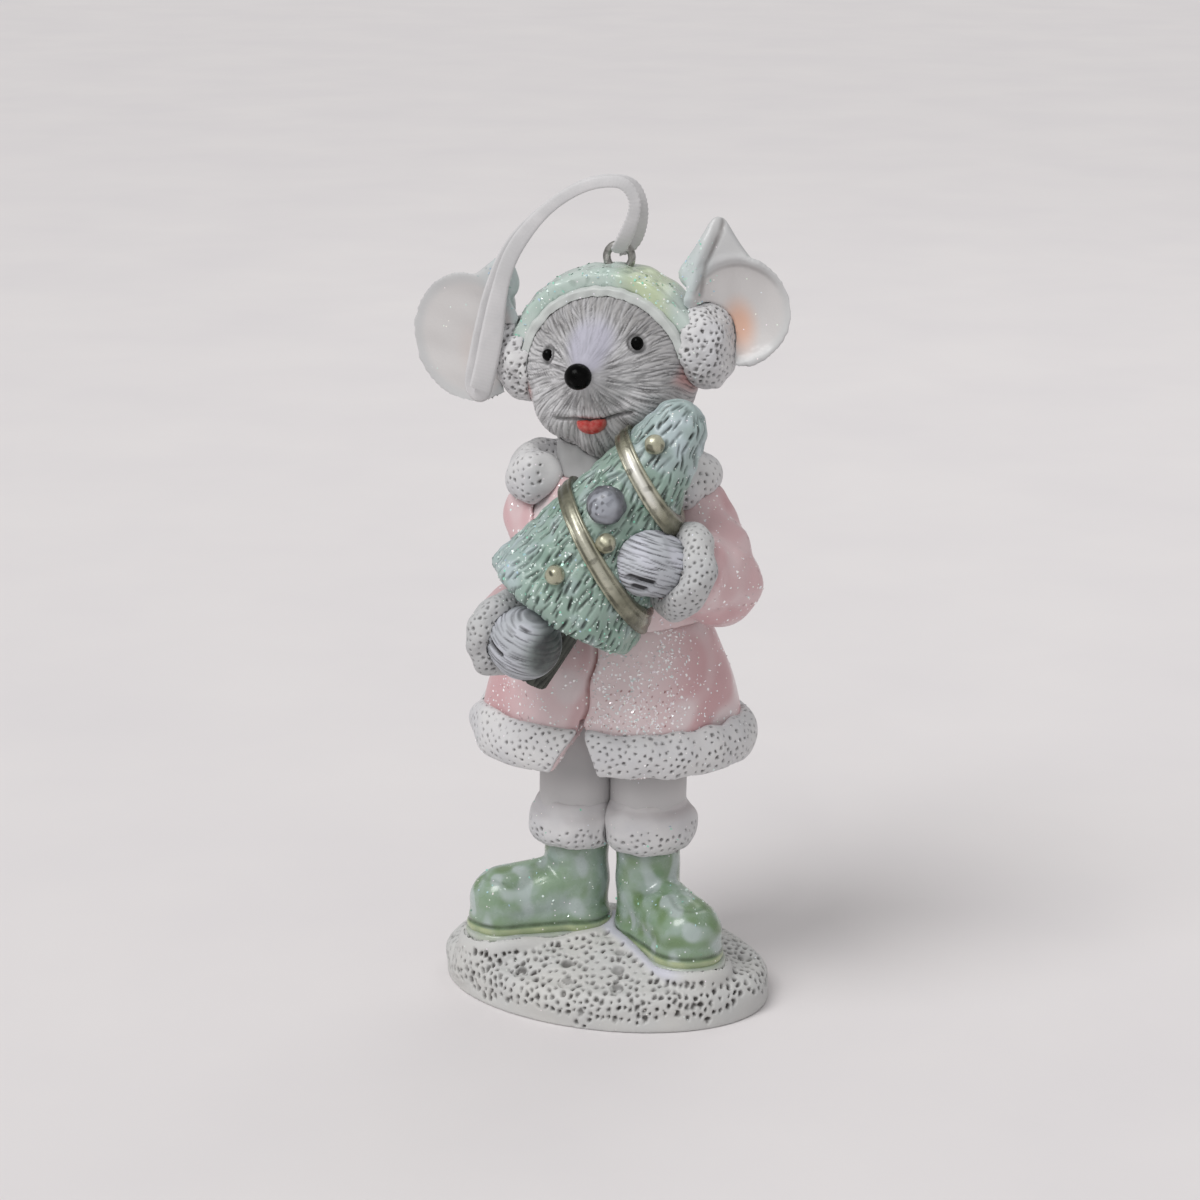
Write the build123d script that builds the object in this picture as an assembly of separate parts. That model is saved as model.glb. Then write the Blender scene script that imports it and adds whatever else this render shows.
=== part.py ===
from build123d import *

import os
from math import asin, cos, radians, sin, tan

# Mouse figurine ornament: a mouse in a winter coat on an oval of snow, hugging a small tree.
# Millimetres. +Z is up, the figure faces -Y, and the origin is the middle of the base's underside.
# Left and right are the viewer's, seen from the front: left is -X.

# Snow base
BASE_LENGTH = 54.0
BASE_DEPTH = 39.0
BASE_RIM = 6.2
BASE_RIM_ROUND = 3.4
BASE_CROWN = 10.4
BASE_TURN = -11.0
BANK_DIA = 16.4
BANK_DROP = 5.0
PIT_DIA = 2.2
PIT_DEPTH = 0.8
PIT_RINGS = ((0.86, 17), (0.67, 13), (0.48, 9))
PIT_CLEAR = 2.2

# Where the figure stands on the base
FIGURE_X = 1.0

# Boots
SOLE_SINK = {"left": 1.6, "right": 2.8}
SOLE_THICK = 1.2
SOLE_WELT = 0.45
BOOT_HEIGHT = 15.2
BOOT_REACH = {"left": 11.8, "right": 11.0}
TOE_OUT = {"left": 66.0, "right": 48.0}
TOE_WIDTH = 11.0
TOE_HEIGHT = 9.6
HEEL_WIDTH = 9.6
ANKLE_DIA = 10.2
INSTEP_RISE = 6.4
BOOT_WALL_INSET = 0.2

# Trousers
LEG_SPREAD = 11.6
LEG_DIA = 11.9
TROUSER_SHOW = 16.0
LEG_SINK = 10.0
TROUSER_CUFF_HEIGHT = {"left": 5.8, "right": 7.4}
TROUSER_CUFF_STAND = 1.9
TROUSER_CUFF_THICK = 4.4

# Coat
SKIRT_HEIGHT = 22.0
SKIRT_HEM_WIDTH = 41.8
SKIRT_HEM_DEPTH = 31.6
SKIRT_FLARE_WIDTH = 40.0
SKIRT_FLARE_DEPTH = 30.0
SKIRT_RECESS = 3.0
SKIRT_WALL = 3.4
HEM_HEIGHT = 7.0
HEM_STAND = 2.3
HEM_EDGE = 0.9
NOTCH_HEIGHT = 9.0
NOTCH_WIDTH = 7.6
NOTCH_SHIFT = -1.9
NOTCH_APEX_SHIFT = 1.3
NOTCH_BACK = 3.0
WAIST_WIDTH = 29.4
WAIST_DEPTH = 23.0
TORSO_HEIGHT = 22.0
CHEST_WIDTH = 29.0
CHEST_DEPTH = 23.0
SHOULDER_WIDTH = 20.0
SHOULDER_DEPTH = 15.0

# Collar and neck
COLLAR_WIDTH = 25.0
COLLAR_DEPTH = 17.6
COLLAR_ROLL_DIA = 8.6
COLLAR_DROP = 0.6
COLLAR_LEFT_END = 58.0
COLLAR_RIGHT_END = 46.0
NECK_WIDTH = 17.0
NECK_DEPTH = 16.0

# Arms
SHOULDER_INSET = {"left": 3.0, "right": 2.0}
SHOULDER_DROP = 7.0
SHOULDER_DIA = {"left": 11.0, "right": 13.0}
ELBOW_DIA = {"left": 11.6, "right": 14.2}
WRIST_DIA = {"left": 9.6, "right": 10.4}
ELBOW_FROM_WRIST = {"left": (4.3, 15.9, 2.4), "right": (1.5, 9.7, -3.4)}
SLEEVE_CUFF_DIA = {"left": 13.2, "right": 15.0}
SLEEVE_CUFF_ROLL_DIA = 5.2
PAW_LENGTH = {"left": 14.6, "right": 17.0}
PAW_TIP_DIA = {"left": 11.0, "right": 10.6}
PAW_WRIST_DIA = {"left": 8.0, "right": 8.0}
PAW_DIRECTION = {"left": (0.84, -0.50, -0.12), "right": (-0.74, -0.58, 0.33)}
PAW_IN_CUFF = 3.5

# Tree
TREE_HEIGHT = 37.0
TREE_FOOT_DIA = 25.0
TREE_FOOT_ROUND = 2.0
TREE_TIP_DIA = 9.0
TREE_SHIFT = -3.6
TREE_LIFT = 4.8
TREE_PRESS = 6.0
TREE_LEAN = 31.5
TREE_BACK = 9.0
TRUNK_DIA = 7.4
TRUNK_SHIFT = 1.2
TRUNK_LENGTH = 11.4
RIGHT_PAW_ALONG = 14.9
RIGHT_PAW_OUT = 3.0
LEFT_PAW_ALONG = -6.3
LEFT_PAW_ACROSS = -2.4
LEFT_PAW_OUT = 4.6
GARLAND_WIDTH = 2.6
GARLAND_STAND = 0.9
GARLAND_SLANT = 26.0
GARLAND_UPPER_ALONG = 24.5
GARLAND_LOWER_ALONG = 12.0
GOLD_BALL_DIA = 3.0
GOLD_BALL_SPOTS = ((29.8, -1.1), (6.6, -2.3), (14.4, 1.2))
BIG_BALL_DIA = 5.8
BIG_BALL_SPOT = (18.9, -1.9)
BALL_SINK = 0.3

# Head
HEAD_LIFT = 16.2
HEAD_ROLL = -7.0
HEAD_DIA = 26.6
MUZZLE_DIA = 7.4
MUZZLE_REACH = 16.2
MUZZLE_RISE = 2.2
CHEEK_DIA = 12.4
CHEEK_SPREAD = 9.6
CHEEK_FRONT = 6.4
CHEEK_DROP = 3.2
CHIN_DIA = 12.2
CHIN_FRONT = 6.0
CHIN_DROP = 6.6
NOSE_DIA = 4.1
NOSE_SINK = 0.9
EYE_DIA = 2.1
EYE_SPREAD = 13.8
EYE_RISE = 5.3
EYE_SINK = 0.25
TONGUE_DIA = 4.2
TONGUE_THICK = 1.6
TONGUE_DROP = 6.0

# Headband, earmuffs and ears
BAND_THICK = 2.7
BAND_WIDTH = 10.0
BAND_END_RISE = 1.5
LINING_THICK = 1.1
LINING_WIDTH = 1.0
MUFF_DIA = 13.4
MUFF_THICK = 9.4
MUFF_OUT = {"left": -0.2, "right": 1.2}
MUFF_RISE = 2.5
EAR_DIA = {"left": 20.8, "right": 17.0}
EAR_BOWL = 3.8
EAR_WALL = 1.5
EAR_ROOT = {"left": 1.8, "right": 1.4}
EAR_RISE = {"left": 6.4, "right": 7.2}
EAR_BACK = 2.6
EAR_TURN = 16.0
EAR_PEAK = {"left": 4.2, "right": 6.0}
EAR_PEAK_DIA = 9.0
EAR_PEAK_TIP_DIA = 2.0
EAR_PEAK_LEAN = {"left": 32.0, "right": 4.0}
EAR_ROLL_DIA = 4.6
EAR_ROLL_IN = 0.66
EAR_ROLL_UP = 0.74

# Screw eye
EYE_RING_DIA = 5.1
EYE_WIRE_DIA = 1.2
EYE_RING_SHIFT = 0.7
EYE_RING_BACK = 1.0
EYE_RING_LIFT = 0.8
EYE_SHANK_DIA = 1.4
EYE_SHANK_LENGTH = 9.0

# Hanging ribbon: gathered tube along the middle of the ribbon, through the eye and over the left ear
RIBBON_TUBE_DIA = 0.8
RIBBON_CORNER_SHARE = 0.45
RIBBON_ROUTE = (
    (1.7, 0.9, 117.7),
    (1.7, -0.7, 117.7),
    (3.1, -1.7, 120.0),
    (4.4, -2.1, 122.9),
    (5.0, -2.3, 125.0),
    (4.8, -2.4, 126.8),
    (3.6, -2.6, 128.5),
    (1.8, -2.8, 129.0),
    (-2.0, -3.2, 128.5),
    (-6.3, -3.9, 126.2),
    (-10.1, -4.9, 122.7),
    (-13.4, -5.9, 117.9),
    (-15.1, -6.6, 111.9),
    (-16.0, -6.9, 105.7),
    (-17.1, -7.0, 100.3),
    (-17.7, -7.0, 98.0),
    (-18.1, -6.8, 96.6),
    (-19.3, -5.9, 96.6),
    (-19.1, -5.6, 98.6),
    (-17.6, -5.4, 105.7),
    (-16.6, -5.1, 111.9),
    (-14.5, -4.3, 117.8),
    (-10.8, -3.1, 122.5),
    (-6.8, -2.1, 126.0),
    (-2.4, -1.3, 128.5),
    (1.8, -0.6, 129.0),
    (4.2, 0.2, 128.2),
    (5.3, 0.9, 125.4),
    (4.9, 1.8, 122.3),
    (3.4, 3.0, 119.0),
    (1.7, 2.6, 117.7),
    (1.7, 1.1, 117.7),
)

SIDES = ("left", "right")
SIGN = {"left": -1.0, "right": 1.0}

# Heights that follow from the sizes above
SEAT_Z = {side: BASE_CROWN - SOLE_SINK[side] for side in SIDES}
SOLE_TOP_Z = {side: SEAT_Z[side] + SOLE_THICK for side in SIDES}
BOOT_TOP_Z = SOLE_TOP_Z["right"] + BOOT_HEIGHT
HEM_Z = BOOT_TOP_Z + TROUSER_SHOW
WAIST_Z = HEM_Z + SKIRT_HEIGHT
SHOULDER_Z = WAIST_Z + TORSO_HEIGHT
HEAD_Z = SHOULDER_Z + HEAD_LIFT

# Reach of the half spaces that cut pieces, and turn that keeps a ball's seam clear of the cuts
FAR = 4 * (BASE_LENGTH + HEAD_Z)
SEAM_TURN = 37.0
EIGHTH_TURN = radians(45)


def main_lump(shape):
    """Largest solid of a cut shape."""
    return max(shape.solids(), key=lambda solid: solid.volume)


def carve(shape, *tools):
    """Shape with each tool that reaches it cut away, so that the pieces seat face to face."""
    for tool in tools:
        if shape.bounding_box().overlaps(tool.bounding_box()):
            shape = main_lump(shape - tool)
    return shape


def oval(width, depth, z):
    """Level ellipse at a height."""
    return Pos(FIGURE_X, 0, z) * Ellipse(width / 2, depth / 2)


def figure_point(x, y, z):
    """Point measured from the figure's middle plane."""
    return Vector(FIGURE_X + x, y, z)


def turned(profile, plane):
    """Profile drawn as radius and height, turned about the plane's normal."""
    return main_lump(plane.location * Rot(90, 0, 0) * revolve(profile, Axis.Y))


def limb(start, end, start_dia, end_dia):
    """Round-ended tapering limb between two points."""
    start = Vector(*start)
    end = Vector(*end)
    length = (end - start).length
    r1 = start_dia / 2
    r2 = end_dia / 2
    slope = asin((r1 - r2) / length)
    low = (slope - radians(90)) / 2
    high = (slope + radians(90)) / 2
    side_low = (r1 * cos(slope), r1 * sin(slope))
    side_high = (r2 * cos(slope), length + r2 * sin(slope))
    outline = [
        ThreePointArc((0, -r1), (r1 * cos(low), r1 * sin(low)), side_low),
        Line(side_low, side_high),
        ThreePointArc(side_high, (r2 * cos(high), length + r2 * sin(high)), (0, length + r2)),
        Line((0, length + r2), (0, -r1)),
    ]
    return turned(make_face(outline), Plane(origin=start, z_dir=end - start))


def pebble(dia, thick, plane):
    """Disc with a fully rounded edge, flat across the plane's normal."""
    half = thick / 2
    flat = dia / 2 - half
    outline = [
        Line((0, -half), (flat, -half)),
        ThreePointArc((flat, -half), (dia / 2, 0), (flat, half)),
        Line((flat, half), (0, half)),
        Line((0, half), (0, -half)),
    ]
    return turned(make_face(outline), plane)


def corner_middle(center, radius, rise):
    """Middle of a quarter-round corner: rise is 1 for an upper corner, -1 for a lower one."""
    return center[0] + radius * cos(EIGHTH_TURN), center[1] + rise * radius * sin(EIGHTH_TURN)


def half_space(x_sign):
    """Everything on one side of the figure's middle plane."""
    return Pos(FIGURE_X + x_sign * FAR / 2, 0, 0) * Box(FAR, FAR, FAR)


def below(z):
    """Everything under a height."""
    return Pos(0, 0, z - FAR / 2) * Box(FAR, FAR, FAR)


def leg_axis(side):
    """Where a leg's axis crosses the ground plane, as X."""
    return FIGURE_X + SIGN[side] * LEG_SPREAD / 2


def boot_place(side):
    """Place of a boot: its ankle axis on the leg's axis, its toe turned out."""
    return Pos(leg_axis(side), 0, 0) * Rot(0, 0, SIGN[side] * TOE_OUT[side])


def foot_outline(side, grow):
    """Outline of a foot in the boot's own frame, grown all round."""
    heel = Circle(HEEL_WIDTH / 2 + grow)
    toe = Pos(0, -BOOT_REACH[side], 0) * Circle(TOE_WIDTH / 2 + grow)
    return make_hull(heel.edges() + toe.edges())


def make_sole(side, thick):
    outline = foot_outline(side, SOLE_WELT)
    return main_lump(boot_place(side) * Pos(0, 0, SEAT_Z[side]) * extrude(outline, thick))


def make_boot(side):
    bottom = SOLE_TOP_Z[side]
    height = BOOT_TOP_Z - bottom
    shaft = Pos(0, 0, bottom + height / 2) * Cylinder(ANKLE_DIA / 2, height)
    heel = (0, 0, bottom + INSTEP_RISE)
    toe = (0, -BOOT_REACH[side], bottom + TOE_HEIGHT - TOE_WIDTH / 2)
    foot = carve(limb(heel, toe, HEEL_WIDTH, TOE_WIDTH), below(bottom))
    wall = Pos(0, 0, bottom) * extrude(foot_outline(side, -BOOT_WALL_INSET), TOE_HEIGHT - TOE_WIDTH / 2)
    boot = main_lump(shaft + foot + wall)
    return main_lump(boot_place(side) * boot)


def dome_point(radius):
    """Point of the base's rounded top, as radius and height, before the base is drawn in to an oval."""
    reach = BASE_LENGTH / 2 - BASE_RIM_ROUND
    crown_rise = BASE_CROWN - BASE_RIM
    dome_radius = (reach ** 2 + crown_rise ** 2) / (2 * crown_rise)
    return radius, BASE_CROWN - dome_radius * (1 - cos(asin(radius / dome_radius)))


def make_bank(side):
    """Bank of snow that a boot has sunk into."""
    height = SEAT_Z[side] - BANK_DROP
    return boot_place(side) * limb((0, 0, height), (0, -BOOT_REACH[side], height), BANK_DIA, BANK_DIA)


def boot_line_distance(side, spot):
    """Level distance from a spot to the line between a boot's heel and toe."""
    turn = radians(TOE_OUT[side])
    toward = Vector(SIGN[side] * sin(turn), -cos(turn))
    from_heel = Vector(*spot) - Vector(leg_axis(side), 0)
    run = min(max(from_heel.dot(toward), 0), BOOT_REACH[side])
    return (from_heel - toward * run).length


def make_pits():
    """Holes poked in the snow, in rings on the rounded top, clear of the boots."""
    pits = []
    clear = TOE_WIDTH / 2 + SOLE_WELT + PIT_CLEAR
    turn = radians(BASE_TURN)
    for share, count in PIT_RINGS:
        radius, height = dome_point(share * BASE_LENGTH / 2)
        for index in range(count):
            angle = radians(360 * (index + share) / count)
            along = radius * cos(angle)
            across = radius * sin(angle) * BASE_DEPTH / BASE_LENGTH
            spot = (along * cos(turn) - across * sin(turn), along * sin(turn) + across * cos(turn))
            if min(boot_line_distance(side, spot) for side in SIDES) > clear:
                pits.append(Pos(*spot, height + PIT_DIA / 2 - PIT_DEPTH) * Sphere(PIT_DIA / 2))
    return pits


def make_base():
    radius = BASE_LENGTH / 2
    shoulder = (radius - BASE_RIM_ROUND, BASE_RIM)
    knee = corner_middle((shoulder[0], BASE_RIM - BASE_RIM_ROUND), BASE_RIM_ROUND, 1)
    dome_middle = dome_point(shoulder[0] / 2)
    outline = [
        Line((0, -BASE_RIM), (radius, -BASE_RIM)),
        Line((radius, -BASE_RIM), (radius, BASE_RIM - BASE_RIM_ROUND)),
        ThreePointArc((radius, BASE_RIM - BASE_RIM_ROUND), knee, shoulder),
        ThreePointArc(shoulder, dome_middle, (0, BASE_CROWN)),
        Line((0, BASE_CROWN), (0, -BASE_RIM)),
    ]
    round_cake = turned(make_face(outline), Plane.XY)
    cake = Rot(0, 0, BASE_TURN) * main_lump(scale(round_cake, by=(1, BASE_DEPTH / BASE_LENGTH, 1)))
    for side in SIDES:
        cake = main_lump(cake + make_bank(side))
    footprints = [make_sole(side, BASE_CROWN) for side in SIDES]
    return main_lump(carve(cake, below(0), *footprints) - make_pits())


def make_trouser(side):
    height = TROUSER_SHOW + LEG_SINK
    leg = Pos(leg_axis(side), 0, BOOT_TOP_Z + height / 2) * Cylinder(LEG_DIA / 2, height)
    return carve(leg, half_space(-SIGN[side]))


def make_trouser_cuff(side, *neighbours):
    height = TROUSER_CUFF_HEIGHT[side]
    center = (leg_axis(side), 0, BOOT_TOP_Z + height / 2)
    middle_radius = LEG_DIA / 2 + TROUSER_CUFF_STAND - TROUSER_CUFF_THICK / 2
    section = Pos(middle_radius, 0, 0) * Ellipse(TROUSER_CUFF_THICK / 2, height / 2)
    ring = turned(section, Plane(origin=center))
    return carve(ring, half_space(-SIGN[side]), *neighbours)


def notch():
    """Wedge cut away where the coat's fronts part, to a little way in front of the middle."""
    middle = FIGURE_X + NOTCH_SHIFT
    apex = (middle + NOTCH_APEX_SHIFT, HEM_Z + NOTCH_HEIGHT)
    feet = [(middle - NOTCH_WIDTH / 2, HEM_Z), (middle + NOTCH_WIDTH / 2, HEM_Z)]
    below_feet = [(feet[1][0], HEM_Z - HEM_HEIGHT), (feet[0][0], HEM_Z - HEM_HEIGHT)]
    outline = make_face(Polyline(feet[0], apex, feet[1], *below_feet, close=True))
    front = -SKIRT_HEM_DEPTH
    return Pos(0, front, 0) * extrude(Plane.XZ * outline, front + NOTCH_BACK)


def skirt_form():
    """Flared skirt before its recess, leg pockets and notch are cut."""
    sections = [
        oval(SKIRT_HEM_WIDTH, SKIRT_HEM_DEPTH, HEM_Z),
        oval(SKIRT_FLARE_WIDTH, SKIRT_FLARE_DEPTH, HEM_Z + HEM_HEIGHT),
        oval(WAIST_WIDTH, WAIST_DEPTH, WAIST_Z),
    ]
    return main_lump(loft(sections))


def make_skirt(legs):
    inner = oval(SKIRT_HEM_WIDTH - 2 * SKIRT_WALL, SKIRT_HEM_DEPTH - 2 * SKIRT_WALL, HEM_Z)
    recess = extrude(inner, SKIRT_RECESS)
    return carve(skirt_form(), recess, notch(), *legs)


def make_hem():
    middle_width = (SKIRT_HEM_WIDTH + SKIRT_FLARE_WIDTH) / 2
    middle_depth = (SKIRT_HEM_DEPTH + SKIRT_FLARE_DEPTH) / 2
    sections = [
        oval(SKIRT_HEM_WIDTH + 2 * HEM_EDGE, SKIRT_HEM_DEPTH + 2 * HEM_EDGE, HEM_Z),
        oval(middle_width + 2 * HEM_STAND, middle_depth + 2 * HEM_STAND, HEM_Z + HEM_HEIGHT / 2),
        oval(SKIRT_FLARE_WIDTH + 2 * HEM_EDGE, SKIRT_FLARE_DEPTH + 2 * HEM_EDGE, HEM_Z + HEM_HEIGHT),
    ]
    return carve(main_lump(loft(sections)), skirt_form(), notch())


def make_coat_body():
    sections = [
        oval(WAIST_WIDTH, WAIST_DEPTH, WAIST_Z),
        oval(CHEST_WIDTH, CHEST_DEPTH, WAIST_Z + TORSO_HEIGHT / 2),
        oval(SHOULDER_WIDTH, SHOULDER_DEPTH, SHOULDER_Z),
    ]
    return main_lump(loft(sections))


def head_place():
    """Place of the head's own frame: its middle, leaned over to the viewer's left."""
    return Pos(FIGURE_X, 0, HEAD_Z) * Rot(0, HEAD_ROLL, 0)


def skull(stand):
    """Round of the skull in the head's own frame, swollen by a stand-off."""
    return Rot(0, 0, SEAM_TURN) * Sphere(HEAD_DIA / 2 + stand)


def head_form():
    """Skull tapering to the muzzle, with cheeks and chin, in the head's own frame."""
    muzzle_tip = (0, -(MUZZLE_REACH - MUZZLE_DIA / 2), MUZZLE_RISE)
    head = limb((0, 0, 0), muzzle_tip, HEAD_DIA, MUZZLE_DIA)
    for side in SIDES:
        cheek = Pos(SIGN[side] * CHEEK_SPREAD / 2, -CHEEK_FRONT, -CHEEK_DROP)
        head = head + cheek * Rot(0, 0, SEAM_TURN) * Sphere(CHEEK_DIA / 2)
    chin = Pos(0, -CHIN_FRONT, -CHIN_DROP) * Rot(0, 0, SEAM_TURN) * Sphere(CHIN_DIA / 2)
    return main_lump(head + chin)


def face_point(head, x, z):
    """Point on the front of the head, in the head's own frame."""
    hits = head.find_intersection_points(Axis((x, -HEAD_DIA, z), (0, 1, 0)))
    return hits[0][0]


def make_nose(head):
    spot = face_point(head, 0, MUZZLE_RISE)
    ball = Pos(0, spot.Y - NOSE_DIA / 2 + NOSE_SINK, MUZZLE_RISE) * Sphere(NOSE_DIA / 2)
    return carve(ball, head)


def make_eye(head, side):
    spot = face_point(head, SIGN[side] * EYE_SPREAD / 2, EYE_RISE)
    ball = Pos(spot.X, spot.Y + EYE_SINK, spot.Z) * Sphere(EYE_DIA / 2)
    return carve(ball, head)


def make_tongue(head):
    spot = face_point(head, 0, -TONGUE_DROP)
    lump = pebble(TONGUE_DIA, 2 * TONGUE_THICK, Plane(origin=spot, z_dir=(0, -1, 0)))
    return carve(lump, head)


def band_slab(front, back):
    """Slab across the head between two depths, above the ends of the headband."""
    middle = Pos(0, (front + back) / 2, BAND_END_RISE + FAR / 2)
    return middle * Box(FAR, back - front, FAR)


def make_headband(head, eye):
    slab = band_slab(-BAND_WIDTH / 2, BAND_WIDTH / 2)
    return carve(main_lump(skull(BAND_THICK) & slab), head, eye)


def make_lining(head):
    slab = band_slab(-BAND_WIDTH / 2 - LINING_WIDTH, -BAND_WIDTH / 2)
    return carve(main_lump(skull(LINING_THICK) & slab), head)


def make_earmuff(side, *neighbours):
    middle = (SIGN[side] * (HEAD_DIA / 2 + MUFF_OUT[side]), 0, MUFF_RISE)
    muff = pebble(MUFF_DIA, MUFF_THICK, Plane(origin=middle, z_dir=(SIGN[side], 0, 0)))
    return carve(muff, *neighbours)


def make_ear(side, *neighbours):
    radius = EAR_DIA[side] / 2
    lean = radians(EAR_PEAK_LEAN[side])
    tip = radius + EAR_PEAK[side] - EAR_PEAK_TIP_DIA / 2
    root = radius - EAR_PEAK_DIA / 2
    peak_root = (-SIGN[side] * root * sin(lean), EAR_WALL, root * cos(lean))
    peak_tip = (-SIGN[side] * tip * sin(lean), EAR_WALL, tip * cos(lean))
    bowl_radius = (radius ** 2 + EAR_BOWL ** 2) / (2 * EAR_BOWL)
    bowl_center = Pos(0, EAR_BOWL - bowl_radius, 0) * Rot(0, 0, SEAM_TURN)
    peak = limb(peak_root, peak_tip, EAR_PEAK_DIA, EAR_PEAK_TIP_DIA)
    roll_root = (-SIGN[side] * EAR_ROLL_IN * radius, EAR_WALL, EAR_ROLL_UP * radius)
    roll = limb(roll_root, peak_tip, EAR_ROLL_DIA, EAR_PEAK_TIP_DIA)
    outer = main_lump(bowl_center * Sphere(bowl_radius) + peak + roll)
    hollow = bowl_center * Sphere(bowl_radius - EAR_WALL)
    front = Pos(0, -FAR / 2, 0) * Box(FAR, FAR, FAR)
    bowl = carve(outer, front, hollow)
    reach = HEAD_DIA / 2 + radius - EAR_ROOT[side]
    place = Pos(SIGN[side] * reach, EAR_BACK - EAR_BOWL, EAR_RISE[side]) * Rot(0, 0, SIGN[side] * EAR_TURN)
    return carve(place * bowl, *neighbours)


def make_screw_eye():
    height = HEAD_Z + HEAD_DIA / 2 + BAND_THICK + EYE_RING_LIFT
    middle = figure_point(EYE_RING_SHIFT, EYE_RING_BACK, height)
    ring_radius = (EYE_RING_DIA - EYE_WIRE_DIA) / 2
    ring = Rot(90, 0, 0) * Torus(ring_radius, EYE_WIRE_DIA / 2)
    shank = Pos(0, 0, -ring_radius - EYE_SHANK_LENGTH / 2) * Cylinder(EYE_SHANK_DIA / 2, EYE_SHANK_LENGTH)
    return main_lump(Pos(*middle) * (ring + shank))


def make_neck(*neighbours):
    height = HEAD_Z - SHOULDER_Z
    column = extrude(oval(NECK_WIDTH, NECK_DEPTH, SHOULDER_Z), height)
    return carve(column, *neighbours)


def make_collar(*neighbours):
    radius = COLLAR_WIDTH / 2
    section = Pos(radius, 0, 0) * Circle(COLLAR_ROLL_DIA / 2)
    sweep_angle = 360 - COLLAR_LEFT_END - COLLAR_RIGHT_END
    roll = Rot(90, 0, 0) * revolve(section, Axis.Y, sweep_angle)
    roll = Rot(0, 0, COLLAR_RIGHT_END - 90) * roll
    ends = [radians(COLLAR_RIGHT_END - 90), radians(270 - COLLAR_LEFT_END)]
    for angle in ends:
        roll = roll + Pos(radius * cos(angle), radius * sin(angle), 0) * Sphere(COLLAR_ROLL_DIA / 2)
    flat = main_lump(scale(main_lump(roll), by=(1, COLLAR_DEPTH / COLLAR_WIDTH, 1)))
    return carve(Pos(FIGURE_X, 0, SHOULDER_Z - COLLAR_DROP) * flat, *neighbours)


def tree_plane():
    """Frame of the tree: origin at the middle of its foot, normal along its axis to the tip."""
    front = TREE_PRESS - WAIST_DEPTH / 2 - TREE_FOOT_DIA / 2
    origin = figure_point(TREE_SHIFT, front, WAIST_Z + TREE_LIFT)
    lean = radians(TREE_LEAN)
    back = radians(TREE_BACK)
    axis = Vector(sin(lean) * cos(back), sin(back), cos(lean) * cos(back))
    return Plane(origin=origin, x_dir=Vector(cos(lean), 0, -sin(lean)), z_dir=axis)


def tree_half_width(along):
    """Half of the tree's width at a distance from its foot."""
    return TREE_FOOT_DIA / 2 - (TREE_FOOT_DIA - TREE_TIP_DIA) / 2 * along / TREE_HEIGHT


def tree_point(along, across, out):
    """Point beside the tree: along its axis, across it to the right, and out to the front."""
    return tree_plane().from_local_coords(Vector(across, -out, along))


def tree_form(stand=0.0):
    """Tree with its rounded tip and foot, swollen by a stand-off."""
    foot = TREE_FOOT_DIA / 2 + stand
    tip = TREE_TIP_DIA / 2 + stand
    slope = asin((foot - tip) / TREE_HEIGHT)
    tip_center = TREE_HEIGHT - TREE_TIP_DIA / 2
    side_high = (tip * cos(slope), tip_center + tip * sin(slope))
    high = (slope + radians(90)) / 2
    foot_in = foot - TREE_FOOT_ROUND
    edge = (foot, TREE_FOOT_ROUND)
    edge_middle = corner_middle((foot_in, TREE_FOOT_ROUND), TREE_FOOT_ROUND, -1)
    outline = [
        Line((0, 0), (foot_in, 0)),
        ThreePointArc((foot_in, 0), edge_middle, edge),
        Line(edge, side_high),
        ThreePointArc(side_high, (tip * cos(high), tip_center + tip * sin(high)), (0, tip_center + tip)),
        Line((0, tip_center + tip), (0, 0)),
    ]
    return turned(make_face(outline), tree_plane())


def make_trunk(*neighbours):
    stump = Pos(TRUNK_SHIFT, 0, -TRUNK_LENGTH / 2) * Cylinder(TRUNK_DIA / 2, TRUNK_LENGTH)
    return carve(tree_plane().location * stump, *neighbours)


def make_garland(along, *neighbours):
    slab = Pos(0, 0, along) * Rot(0, GARLAND_SLANT, 0) * Box(FAR, FAR, GARLAND_WIDTH)
    band = main_lump(tree_form(GARLAND_STAND) & (tree_plane().location * slab))
    return carve(band, *neighbours)


def make_ball(tree, spot, diameter):
    """Ball part sunk in the front of the tree."""
    along, across = spot
    start = tree_point(along, across, TREE_FOOT_DIA)
    inward = tree_plane().y_dir
    hit = tree.find_intersection_points(Axis(start, inward))[0][0]
    center = hit - inward * (diameter / 2 * (1 - 2 * BALL_SINK))
    return carve(Pos(*center) * Sphere(diameter / 2), tree)


def paw_center(side):
    """Middle of a paw: the right one at the tree's right edge, the left one on the trunk."""
    if side == "right":
        return tree_point(RIGHT_PAW_ALONG, tree_half_width(RIGHT_PAW_ALONG), RIGHT_PAW_OUT)
    return tree_point(LEFT_PAW_ALONG, LEFT_PAW_ACROSS, LEFT_PAW_OUT)


def wrist(side):
    """Middle of a sleeve cuff, behind its paw."""
    direction = Vector(*PAW_DIRECTION[side]).normalized()
    return paw_center(side) - direction * (PAW_LENGTH[side] / 2 - PAW_IN_CUFF)


def make_sleeve(side, *neighbours):
    out = CHEST_WIDTH / 2 - SHOULDER_INSET[side]
    shoulder = figure_point(SIGN[side] * out, 0, SHOULDER_Z - SHOULDER_DROP)
    elbow = wrist(side) + Vector(*ELBOW_FROM_WRIST[side])
    upper = limb(shoulder, elbow, SHOULDER_DIA[side], ELBOW_DIA[side])
    lower = limb(elbow, wrist(side), ELBOW_DIA[side], WRIST_DIA[side])
    return carve(upper + lower, *neighbours)


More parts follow.
